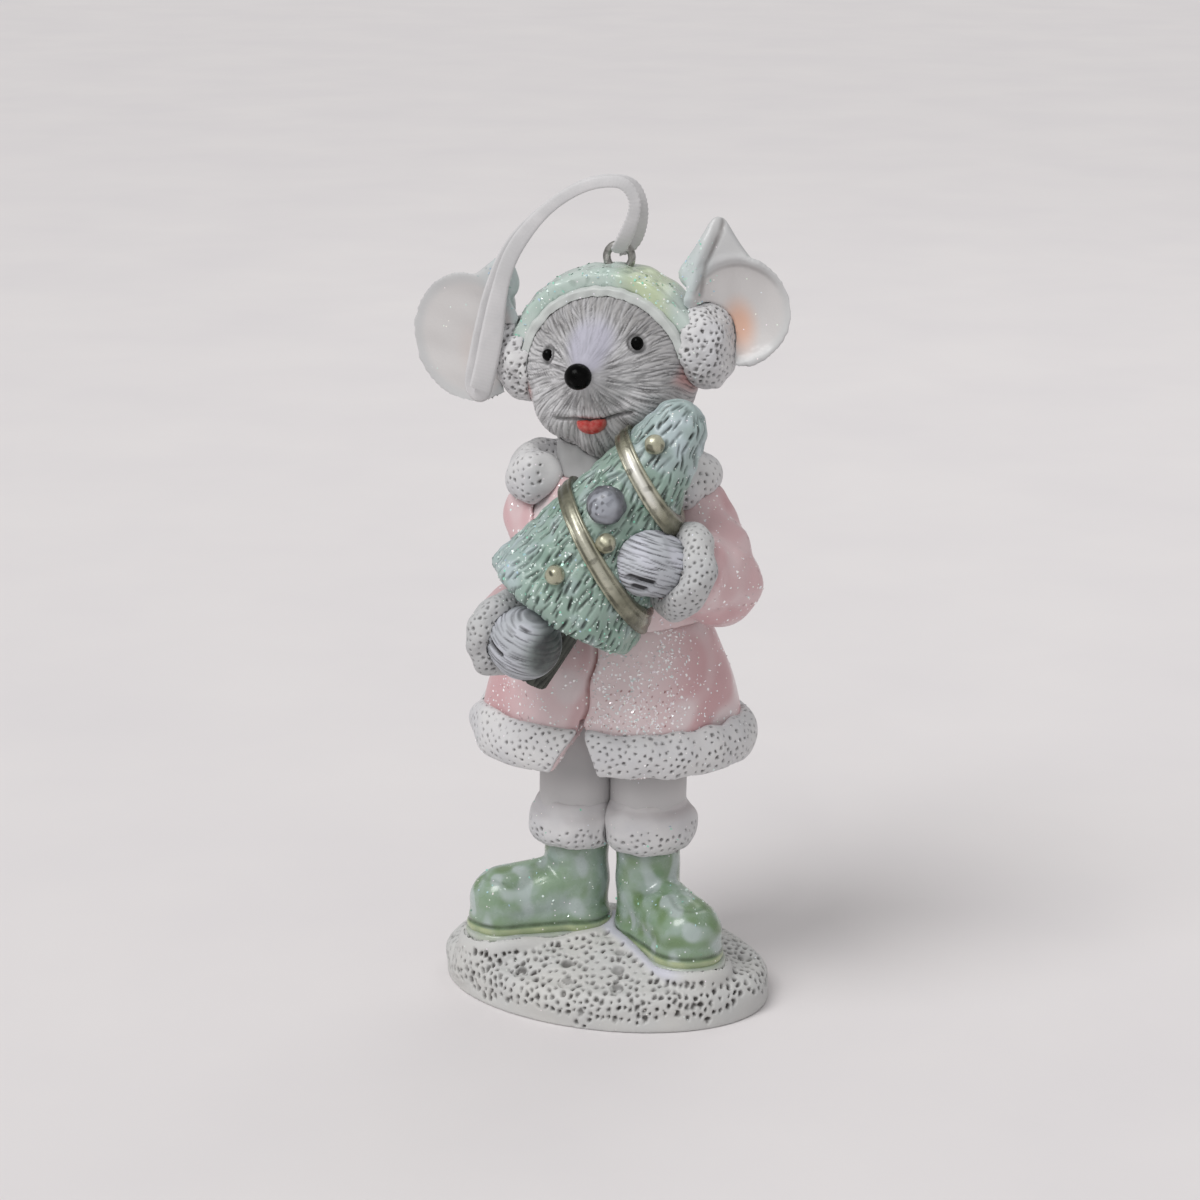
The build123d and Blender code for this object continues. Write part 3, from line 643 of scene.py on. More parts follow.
class Clay:
    """Sculpted piece: lumps are fused into one skin, which is smoothed, carved and painted."""

    def __init__(self, name: str) -> None:
        """Starts a piece with no lumps.

        Args:
            name: the piece's name.
        """
        self.name = name
        self.lumps: list[bpy.types.Object] = []
        # Share of the dark wash at each point; some pieces also put painted shade into it.
        self.depth: Optional[np.ndarray] = None

    @property
    def obj(self) -> bpy.types.Object:
        """The piece's object."""
        return self.lumps[0]

    def take(self, node: str) -> "Clay":
        """Adds a merged copy of a CAD solid.

        Args:
            node: name of the CAD solid.

        Returns:
            This piece.
        """
        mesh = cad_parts[node].data.copy()
        mesh.materials.clear()
        copy = bpy.data.objects.new(self.name, mesh)
        bpy.context.collection.objects.link(copy)
        pick(copy)
        bpy.ops.object.mode_set(mode="EDIT")
        bpy.ops.mesh.select_all(action="SELECT")
        bpy.ops.mesh.remove_doubles(threshold=1e-7)
        bpy.ops.object.mode_set(mode="OBJECT")
        self.lumps.append(copy)
        return self

    def keep_primitive(self) -> "Clay":
        """Takes in the primitive that was just added.

        Returns:
            This piece.
        """
        lump = bpy.context.object
        lump.name = self.name
        bpy.ops.object.transform_apply(location=True, rotation=True, scale=True)
        self.lumps.append(lump)
        return self

    def ball(self, center: Sequence[float], radius: float, stretch: Point = (1.0, 1.0, 1.0)) -> "Clay":
        """Adds a round lump, stretched along the axes.

        Args:
            center: middle of the lump.
            radius: its radius before it is stretched.
            stretch: its scale along each axis.

        Returns:
            This piece.
        """
        bpy.ops.object.select_all(action="DESELECT")
        bpy.ops.mesh.primitive_uv_sphere_add(segments=48, ring_count=24, radius=radius * MM)
        bpy.context.object.scale = stretch
        bpy.context.object.location = [c * MM for c in center]
        return self.keep_primitive()

    def cone(self, center: Sequence[float], low_radius: float, high_radius: float, height: float) -> "Clay":
        """Adds an upright lump that tapers.

        Args:
            center: middle of the lump.
            low_radius: its radius at the foot.
            high_radius: its radius at the top.
            height: its height.

        Returns:
            This piece.
        """
        bpy.ops.object.select_all(action="DESELECT")
        bpy.ops.mesh.primitive_cone_add(vertices=72, radius1=low_radius * MM, radius2=high_radius * MM,
                                        depth=height * MM, location=[c * MM for c in center])
        return self.keep_primitive()

    def fuse(self, grain: float, rounds: int) -> "Clay":
        """Joins the lumps into one skin and softens it.

        Args:
            grain: length of the skin's edges.
            rounds: how often the skin is smoothed.

        Returns:
            This piece.
        """
        pick(*self.lumps)
        if len(self.lumps) > 1:
            bpy.ops.object.join()
            self.lumps = self.lumps[:1]
        self.obj.name = self.name
        skin = self.obj.modifiers.new("skin", "REMESH")
        skin.mode = "VOXEL"
        skin.voxel_size = grain * MM
        bpy.ops.object.modifier_apply(modifier=skin.name)
        self.soften(rounds)
        self.depth = np.zeros(len(self.obj.data.vertices))
        return self

    def soften(self, rounds: int) -> None:
        """Smooths the skin.

        Args:
            rounds: how often the skin is smoothed.
        """
        pick(self.obj)
        soften = self.obj.modifiers.new("soften", "SMOOTH")
        soften.factor = 0.5
        soften.iterations = rounds
        bpy.ops.object.modifier_apply(modifier=soften.name)

    def points(self) -> np.ndarray:
        """Places of the skin's points.

        Returns:
            One row for each point.
        """
        flat = np.empty(len(self.obj.data.vertices) * 3, np.float32)
        self.obj.data.vertices.foreach_get("co", flat)
        return flat.reshape(-1, 3).astype(float) / MM

    def normals(self) -> np.ndarray:
        """Outward directions at the skin's points.

        Returns:
            One unit row for each point.
        """
        flat = np.empty(len(self.obj.data.vertices) * 3, np.float32)
        self.obj.data.vertices.foreach_get("normal", flat)
        return flat.reshape(-1, 3).astype(float)

    def move(self, offsets: np.ndarray) -> None:
        """Moves the skin's points."""
        self.obj.data.vertices.foreach_set("co", ((self.points() + offsets) * MM).astype(np.float32).ravel())
        self.obj.data.update()

    def swell(self, heights: np.ndarray) -> None:
        """Moves the skin out along its own directions."""
        self.move(self.normals() * heights[:, None])

    def roughen(self, height: float, size: float, seed: int) -> None:
        """Gives the skin the uneven swells of a hand-made piece."""
        self.swell(height * ripple(self.points(), size, seed))

    def carve(self, share: np.ndarray, depth: float) -> None:
        """Sinks the skin where share is 1 and remembers it for the wash."""
        self.swell(-depth * share)
        self.depth = np.maximum(self.depth, share)

    def poke(self, pits: "Pits", where: np.ndarray, depth: float) -> None:
        """Carves scattered holes where the mask is set."""
        self.carve(pits.carve(self.points(), where), depth)

    def mask(self, name: str, values: np.ndarray) -> None:
        """Paints a mask on the skin."""
        layer = self.obj.data.attributes.new(name, "FLOAT", "POINT")
        layer.data.foreach_set("value", np.clip(values, 0.0, 1.0).astype(np.float32))

    def finish(self, finish: Any, slot: str, *nodes: str) -> None:
        """Dresses the piece and sets it on the figure in place of CAD solids.

        Args:
            finish: the piece's finish.
            slot: material slot that it belongs to; not used.
            nodes: CAD solids that it stands for.
        """
        self.mask(CARVE_AND_SHADE, self.depth)
        self.obj.data.shade_smooth()
        self.obj.data.materials.clear()
        self.obj.data.materials.append(Palette.get(finish))
        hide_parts(*nodes)
        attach(self.obj, FIGURE_BODY)
        LOG.info("%s: %d points", self.name, len(self.obj.data.vertices))


def cast(node: str, grain: float, rounds: int) -> Clay:
    """Sculpting copy of one CAD solid, fused and softened."""
    return Clay(node + "_cast").take(node).fuse(grain, rounds)


@dataclass(frozen=True)
class Pits:
    """Scattered small holes, as a modeller pokes them for snow and fur."""

    spacing: float
    radius: float
    seed: int
    ragged: float = 0.3
    tries: int = 9000

    def carve(self, points: np.ndarray, where: np.ndarray) -> np.ndarray:
        """Depth of the holes.

        Args:
            points: points of the skin.
            where: mask of where holes go.

        Returns:
            Depth from 0 to 1 at each point.
        """
        rng = np.random.default_rng(self.seed)
        spots = rng.permutation(np.flatnonzero(where > 0.5))[: self.tries]
        taken: dict[tuple[int, int, int], list[np.ndarray]] = {}
        centers: list[np.ndarray] = []
        for spot in points[spots]:
            cell = tuple(int(math.floor(c / self.spacing)) for c in spot)
            around = [(cell[0] + i, cell[1] + j, cell[2] + k)
                      for i in (-1, 0, 1) for j in (-1, 0, 1) for k in (-1, 0, 1)]
            near = [other for key in around for other in taken.get(key, ())]
            if all(np.sum((spot - other) ** 2) > self.spacing ** 2 for other in near):
                taken.setdefault(cell, []).append(spot)
                centers.append(spot)
        share = np.zeros(len(points))
        if not centers:
            return share
        tree = KDTree(len(centers))
        for index, center in enumerate(centers):
            tree.insert(Vector(center), index)
        tree.balance()
        sizes = self.radius * rng.uniform(0.55, 1.3, len(centers))
        edge = self.ragged * self.radius * ripple(points, 1.6 * self.radius, self.seed + 1)
        for index, point in enumerate(points):
            _, nearest, distance = tree.find(Vector(point))
            reach = (distance + edge[index]) / sizes[nearest]
            if reach < 1.0:
                share[index] = (1.0 - max(reach, 0.0) ** 2) ** 1.5
        return share


@dataclass(frozen=True)
class Strokes:
    """Rows of short carved strokes that run along an axis, all round it."""

    row: float
    gap: float
    length: float
    width: float
    seed: int
    slant: float = 0.12

    def carve(self, along: np.ndarray, angle: np.ndarray, radius: np.ndarray) -> np.ndarray:
        """Depth of the strokes.

        Args:
            along: each point's distance along the axis.
            angle: each point's bearing round the axis.
            radius: each point's distance from the axis.

        Returns:
            Depth from 0 to 1 at each point.
        """
        rng = np.random.default_rng(self.seed)
        share = np.zeros(len(along))
        for start in np.arange(along.min(), along.max() + self.row, self.row):
            near = np.flatnonzero(np.abs(along - start) < self.length + self.row)
            if not len(near):
                continue
            count = max(4, int(2 * math.pi * np.median(radius[near]) / self.gap))
            bearing = 2 * math.pi * (np.arange(count) + rng.uniform(-0.38, 0.38, count)) / count
            middle = start + self.row * rng.uniform(-0.5, 0.5, count)
            half = self.length / 2 * rng.uniform(0.6, 1.3, count)
            width = self.width * rng.uniform(0.7, 1.3, count)
            deep = rng.uniform(0.45, 1.0, count)
            lean = self.slant * rng.normal(size=count)
            run = along[near][:, None] - middle
            turn = (angle[near][:, None] - bearing + math.pi) % (2 * math.pi) - math.pi
            across = turn * radius[near][:, None] - lean * run
            groove = np.clip(1 - (across / width) ** 2, 0, 1) * np.clip(1 - (run / half) ** 2, 0, 1) ** 0.5
            share[near] = np.maximum(share[near], (groove * deep).max(axis=1))
        return share


@dataclass(frozen=True)
class Flakes:
    """Glitter flakes strewn over a piece."""

    count: int
    size: float
    seed: int
    tilt: float = 0.45
    lift: float = 0.02

    def strew(self, name: str, clay: Clay, weight: np.ndarray, finish: FlakeFilm, slot: str) -> None:
        """Strews the flakes where the weight is high.

        Args:
            name: the new piece's name.
            clay: the piece that carries them.
            weight: how likely each of its points is to carry a flake.
            finish: film of the flakes.
            slot: material slot that they belong to; not used.
        """
        rng = np.random.default_rng(self.seed)
        bpy.ops.object.select_all(action="DESELECT")
        bpy.ops.mesh.primitive_circle_add(vertices=6, radius=0.5 * self.size * MM, fill_type="NGON")
        flake = bpy.context.object
        flake.name = name
        rim = np.array([vertex.co for vertex in flake.data.vertices]) / MM
        chance = np.clip(weight, 0, None) / np.clip(weight, 0, None).sum()
        spots = rng.choice(len(chance), size=self.count, replace=False, p=chance)
        points = clay.points()[spots]
        facing = clay.normals()[spots] + self.tilt * rng.normal(size=(self.count, 3))
        facing /= np.linalg.norm(facing, axis=1)[:, None]
        side = np.cross(facing, rng.normal(size=(self.count, 3)))
        side /= np.linalg.norm(side, axis=1)[:, None]
        other = np.cross(facing, side)
        scale = rng.uniform(0.55, 1.25, self.count)[:, None]
        corners = [points + facing * self.lift + scale * (side * x + other * y) for x, y, _ in rim]
        mesh = bpy.data.meshes.new(name)
        faces = np.arange(self.count * len(rim)).reshape(self.count, len(rim))
        mesh.from_pydata((np.stack(corners, axis=1).reshape(-1, 3) * MM).tolist(), [], faces.tolist())
        hue = mesh.attributes.new(HUE, "FLOAT", "POINT")
        hue.data.foreach_set("value", np.repeat(rng.uniform(size=self.count), len(rim)).astype(np.float32))
        mesh.materials.append(Palette.get(finish))
        flake.data = mesh
        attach(flake, FIGURE_BODY)
        LOG.info("%s: %d flakes", name, self.count)


def bearing_round(spots: np.ndarray) -> tuple[np.ndarray, np.ndarray, np.ndarray]:
    """Distance along, bearing round and distance from the up axis of a frame."""
    return spots[:, 2], np.arctan2(spots[:, 1], spots[:, 0]), np.hypot(spots[:, 0], spots[:, 1])


def near_line(points: np.ndarray, start: Sequence[float], end: Sequence[float]) -> np.ndarray:
    """Distance from each point to a straight line between two others.

    Args:
        points: points in a plane or in space.
        start: first end of the line.
        end: its other end.

    Returns:
        One distance for each point.
    """
    first, last = np.array(start, float), np.array(end, float)
    run = last - first
    share = np.clip((points - first) @ run / (run @ run), 0.0, 1.0)
    return np.linalg.norm(points - first - share[:, None] * run, axis=1)


def leg_middle(side: Side) -> float:
    """Where the middle of a leg lies from side to side."""
    low, high = box_mm(f"trouser_{side.value}")
    return low[0] + LEG_HALF if side is Side.LEFT else high[0] - LEG_HALF


@dataclass
class Boots:
    """Mint boots with their soles."""

    reach: tuple[float, float] = (11.8, 11.0)
    toe_out: tuple[float, float] = (66.0, 48.0)
    sole_half: float = 5.6
    welt: float = 1.5
    instep_share: float = 0.38
    instep_height: float = 6.2
    instep_radius: float = 4.6
    ankle_height: float = 9.6
    grain: float = 0.26
    sole_grain: float = 0.24
    shade_seeds: tuple[int, int] = (17, 18)
    glitter: Flakes = Flakes(count=46, size=0.42, seed=16)

    def sole_line(self, side: Side) -> tuple[np.ndarray, np.ndarray]:
        """Heel and toe middles of a sole, on the level.

        Args:
            side: viewer's side of the piece.

        Returns:
            The heel's middle and the toe's.
        """
        heel = middle_mm(f"trouser_cuff_{side.value}")
        heel[0] = leg_middle(side)
        turn = math.radians(side.of(self.toe_out))
        toe = heel + side.of(self.reach) * np.array([side.sign * math.sin(turn), -math.cos(turn), 0.0])
        return heel[:2], toe[:2]

    def sole_gap(self, points: np.ndarray, side: Side) -> np.ndarray:
        """Level distance from a sole's edge."""
        heel, toe = self.sole_line(side)
        return near_line(points[:, :2], heel, toe) - self.sole_half

    def build(self) -> None:
        """Builds both boots and soles."""
        for side in Side:
            self.boot(side)
            self.sole(side)

    def boot(self, side: Side) -> None:
        """Builds one boot.

        Args:
            side: viewer's side of the piece.
        """
        node = f"boot_{side.value}"
        heel, toe = self.sole_line(side)
        low, high = box_mm(node)
        clay = Clay(node + "_cast").take(node)
        instep = heel * (1 - self.instep_share) + toe * self.instep_share
        clay.ball((*instep, low[2] + self.instep_height), self.instep_radius)
        clay.fuse(grain=self.grain, rounds=26)
        points = clay.points()
        height = points[:, 2] - low[2]
        clay.swell(0.12 * ripple(points, size=7.0, seed=11) + 0.5 * smooth_step(3.6, 0.8, height))
        clay.carve(0.9 * ridge(height - self.welt, width=0.34), depth=0.3)
        ankle = ridge(height - self.ankle_height - 1.2 * ripple(points, size=9.0, seed=12), width=0.5)
        toward = (toe - heel) / np.linalg.norm(toe - heel)
        front = smooth_step(0.0, 4.0, (points[:, :2] - heel) @ toward)
        clay.carve(0.35 * ankle * front, depth=0.35)
        shade = patches(points, size=5.0, seed=side.of(self.shade_seeds), low=-0.1, high=0.9)
        clay.mask("moss", np.maximum(smooth_step(3.6, self.welt, height) * 0.6, shade * 0.85))
        worn = 0.55 + 0.35 * patches(points, size=3.0, seed=18, low=-0.6, high=0.6)
        clay.mask("welt", worn * smooth_step(self.welt - 0.1, self.welt - 0.5, height))
        clay.mask("pearl", patches(points, size=5.0, seed=15, low=0.15, high=0.9) * 0.85)
        clay.finish(Palette.MINT, "mint", node)
        weight = clay.normals()[:, 2].clip(0.02) * (points[:, 2] < high[2] - 1.0)
        self.glitter.strew(f"boot_glitter_{side.value}", clay, weight, Palette.GREEN_FLAKE, "mint")

    def sole(self, side: Side) -> None:
        """Builds one sole.

        Args:
            side: viewer's side of the piece.
        """
        node = f"sole_{side.value}"
        clay = cast(node, grain=self.sole_grain, rounds=6)
        points = clay.points()
        clay.swell(0.06 * ripple(points, size=4.0, seed=17) + 0.16)
        top = box_mm(node)[1][2]
        # Painted shade along the top of the sole, where it tucks under the boot.
        clay.depth = 0.5 * smooth_step(top - 0.5, top, points[:, 2])
        clay.finish(Palette.WELT, "welt", node)


@dataclass
class SnowBase:
    """Oval of snow with a pitted top and a smooth rim."""

    boots: Boots
    grain: float = 0.24
    rim: float = 2.3
    turn: float = -11.0
    stretch: float = 54.0 / 39.0
    crown: float = 10.4
    dome_radius: float = 68.4
    top_reach: float = 22.5
    lip_height: float = 0.45
    pits: Pits = Pits(spacing=0.88, radius=0.42, seed=23, tries=36000)
    pit_depth: float = 0.62
    pit_draw: Point = (1.0, 0.6, 0.72)
    poked_shade: float = 0.62

    def build(self) -> None:
        """Builds the base."""
        clay = cast("snow_base", grain=self.grain, rounds=10)
        points = clay.points()
        poked = smooth_step(0.2, 0.7, self.dome(points) - points[:, 2])
        rise = smooth_step(0.4, 3.0, points[:, 2])
        clay.swell(0.32 * ripple(points, size=11.0, seed=21) * rise - 0.05)
        points = clay.points()
        gap = np.minimum(*[self.boots.sole_gap(points, side) for side in Side])
        lip = smooth_step(2.1, 0.9, gap) * smooth_step(-1.2, 0.2, gap) * (points[:, 1] < 4)
        clay.swell(self.lip_height * lip)
        wander = self.rim + 1.1 * ripple(points, size=9.0, seed=22)
        open_snow = (points[:, 2] > wander) & (gap > 1.5) & (poked < 0.05)
        clay.carve(self.pits.carve(clay.points() * self.pit_draw, open_snow), self.pit_depth)
        clay.depth = np.maximum(clay.depth, self.poked_shade * poked)
        below = np.minimum(clay.points()[:, 2], 0.0)
        clay.move(np.outer(-below, (0, 0, 1)))
        right_gap = self.boots.sole_gap(points, Side.RIGHT)
        toe = self.boots.sole_line(Side.RIGHT)[1][0]
        beside = smooth_step(toe + 2.0, toe - 2.0, points[:, 0])
        clay.mask("lip", lip * smooth_step(2.4, 1.0, right_gap) * beside * 0.9)
        clay.finish(Palette.SNOW, "snow", "snow_base")

    def dome(self, points: np.ndarray) -> np.ndarray:
        """Height of the smooth snow, and nothing outside its rounded top.

        Args:
            points: places to read the height at.

        Returns:
            One height for each point.
        """
        turn = math.radians(self.turn)
        along = points[:, 0] * math.cos(turn) + points[:, 1] * math.sin(turn)
        across = (points[:, 1] * math.cos(turn) - points[:, 0] * math.sin(turn)) * self.stretch
        radius = np.hypot(along, across)
        return np.where(radius < self.top_reach, self.crown - radius ** 2 / (2 * self.dome_radius), 0.0)


@dataclass
class Trousers:
    """White trouser legs with rolled fur cuffs."""

    grain: float = 0.2
    leg_grain: float = 0.28
    between: float = 1.0
    flare: float = 4.6
    shadow_fade_low: float = 32.5
    shadow_fade_run: float = 5.0
    pits: Pits = Pits(spacing=0.98, radius=0.36, seed=34)
    pit_depth: float = 0.4
    glitter: Flakes = Flakes(count=46, size=0.36, seed=36)

    def build(self) -> None:
        """Builds both legs and cuffs."""
        for side in Side:
            leg = f"trouser_{side.value}"
            clay = cast(leg, grain=self.leg_grain, rounds=8)
            points = clay.points()
            clay.swell(0.08 * ripple(points * (1, 1, 0.5), size=6.0, seed=31))
            # Painted shadow under the hem: the grey trouser paint, faded out toward the cuffs by the pale
            # mask.
            pale = smooth_step(self.shadow_fade_low + self.shadow_fade_run, self.shadow_fade_low, points[:, 2])
            clay.mask("pale", 0.6 * pale)
            clay.finish(Palette.TROUSER, "white", leg)
            self.cuff(side)

    def cuff(self, side: Side) -> None:
        """Builds one cuff.

        Args:
            side: viewer's side of the piece.
        """
        node = f"trouser_cuff_{side.value}"
        low, high = box_mm(node)
        tall = high[2] - low[2]
        leg_low, leg_high = box_mm(f"trouser_{side.value}")
        outer = leg_low[0] - low[0] if side is Side.LEFT else high[0] - leg_high[0]
        clay = Clay(node + "_cast").take(node)
        clay.cone((leg_middle(side), 0.0, low[2] + tall / 2 + self.flare / 2), LEG_HALF + outer - 0.2,
                  LEG_HALF - 0.05, self.flare)
        clay.fuse(grain=self.grain, rounds=24)
        points = clay.points()
        over = side.sign * np.minimum(side.sign * (points[:, 0] - self.between), 0)
        clay.move(np.outer(-over, (1, 0, 0)))
        clay.swell(0.2 * ripple(points, size=5.0, seed=32))
        where = points[:, 2] < low[2] + tall * (0.62 + 0.12 * ripple(points, size=6.0, seed=33))
        clay.poke(self.pits, where, self.pit_depth)
        clay.finish(Palette.FUR, "fur_white", node)
        weight = patches(points, size=4.0, seed=35, low=0.2, high=0.9) + 0.05
        self.glitter.strew(f"cuff_glitter_{side.value}", clay, weight, Palette.GREEN_FLAKE, "fur_white")


@dataclass
class Coat:
    """Pink coat: skirt, hem, body, collar and neck."""

    grain: float = 0.3
    fur_grain: float = 0.2
    body_grain: float = 0.4
    middle_x: float = 1.0
    split_x: tuple[float, float] = (1.7, 0.2)
    split_z: tuple[float, float] = (60.0, 48.6)
    tuck: float = 0.6
    bare_span: tuple[float, float] = (7.4, 13.0)
    specks: Pits = Pits(spacing=1.1, radius=0.22, seed=40, tries=14000)
    hem_pits: Pits = Pits(spacing=1.02, radius=0.34, seed=46, tries=24000)
    hem_pit_depth: float = 0.38
    collar_pits: Pits = Pits(spacing=1.08, radius=0.32, seed=53, tries=14000)
    collar_pit_depth: float = 0.34
    skirt_glitter: Flakes = Flakes(count=2000, size=0.42, seed=44, tilt=0.4)
    hem_glitter: Flakes = Flakes(count=160, size=0.36, seed=47)
    body_glitter: Flakes = Flakes(count=260, size=0.42, seed=51)

    def build(self) -> None:
        """Builds the coat from the skirt up."""
        self.skirt()
        self.hem()
        self.body()
        self.collar()
        self.neck()

    def skirt(self) -> None:
        """Builds the flared skirt with its front split and glitter."""
        clay = cast("coat_skirt", grain=self.grain, rounds=8)
        points = clay.points()
        low, high = box_mm("coat_skirt")
        down = smooth_step(high[2], low[2] + 4.0, points[:, 2])
        bearing = np.arctan2(points[:, 1], points[:, 0] - self.middle_x)
        folds = np.sin(6 * bearing + 0.8) + 0.5 * np.sin(11 * bearing + 2.0)
        clay.swell(0.28 * folds * down + 0.15 * ripple(points, size=9.0, seed=41))
        points = clay.points()
        front = points[:, 1] < -6
        top, foot = self.split_z
        share = np.clip((top - points[:, 2]) / (top - foot), 0, 1)
        seam_x = self.split_x[0] + (self.split_x[1] - self.split_x[0]) * share
        off = points[:, 0] - seam_x - 0.25 * np.sin(points[:, 2] * 0.9)
        step = smooth_step(-0.2, 0.35, off) * smooth_step(6.0, 0.5, off) * front
        clay.swell(0.5 * step)
        clay.carve(ridge(off, width=0.32) * front * 0.8, depth=0.55)
        panel = smooth_step(0.3, 2.0, off) * smooth_step(15.0, 10.0, off) * front
        clouds = patches(points, size=10.0, seed=42, low=0.0, high=0.9)
        clay.mask("pearl", 0.75 * clouds * (1 - panel) + 0.3 * panel)
        # Darker pink toward both sides, where the skirt turns away, and in a line beside the split: painted
        # shade.
        far = smooth_step(8.0, 17.0, np.abs(points[:, 0] - self.middle_x))
        clay.mask("blush_and_shade", 0.75 * far + 0.5 * smooth_step(2.2, 0.2, np.abs(off + 1.0)) * front)
        sparse = (panel > 0.3) & (points[:, 2] < high[2] - 8.0)
        clay.depth = np.maximum(clay.depth, self.specks.carve(clay.points(), sparse))
        clay.finish(Palette.COAT, "coat", "coat_skirt")
        weight = (0.1 + 2.2 * panel + 0.4 * front) * patches(points, size=5.0, seed=43, low=-1.8, high=0.6)
        self.skirt_glitter.strew("coat_glitter", clay, weight, Palette.SILVER_FLAKE, "coat")

    def hem(self) -> None:
        """Builds the fur band round the hem."""
        clay = cast("coat_hem", grain=self.fur_grain, rounds=34)
        clay.roughen(height=0.3, size=7.0, seed=45)
        everywhere = np.ones(len(clay.points()))
        clay.poke(self.hem_pits, everywhere, self.hem_pit_depth)
        clay.finish(Palette.FUR, "fur_white", "coat_hem")
        self.hem_glitter.strew("hem_glitter", clay, everywhere, Palette.SILVER_FLAKE, "fur_white")

    def body(self) -> None:
        """Builds the upper coat."""
        clay = cast("coat_body", grain=self.body_grain, rounds=12)
        points = clay.points()
        clay.roughen(height=0.2, size=9.0, seed=48)
        low = box_mm("coat_body")[0][2]
        clay.move(np.outer(-self.tuck * smooth_step(low + 1.4, low + 0.3, points[:, 2]), (0, 0, 1)))
        clay.mask("pearl", patches(points, size=8.0, seed=49, low=0.0, high=0.9))
        clay.mask("blush_and_shade", 0.4 * patches(points, size=9.0, seed=50, low=0.2, high=1.0))
        clay.finish(Palette.COAT, "coat", "coat_body")
        everywhere = np.ones(len(points))
        self.body_glitter.strew("body_glitter", clay, everywhere, Palette.SILVER_FLAKE, "coat")

    def collar(self) -> None:
        """Builds the rolled collar."""
        clay = cast("fur_collar", grain=self.fur_grain, rounds=20)
        points = clay.points()
        clay.roughen(height=0.35, size=6.0, seed=52)
        low = box_mm("fur_collar")[0]
        across = points[:, 0] - low[0]
        bare = (across < self.bare_span[1]) & (across > self.bare_span[0]) & (points[:, 1] < -4)
        clay.poke(self.collar_pits, (points[:, 2] > low[2] + 0.8) & ~bare, self.collar_pit_depth)
        clay.finish(Palette.FUR, "fur_white", "fur_collar")

    def neck(self) -> None:
        """Builds the white neck."""
        clay = cast("neck", grain=self.grain, rounds=10)
        clay.roughen(height=0.2, size=4.0, seed=54)
        clay.finish(Palette.TROUSER, "white", "neck")


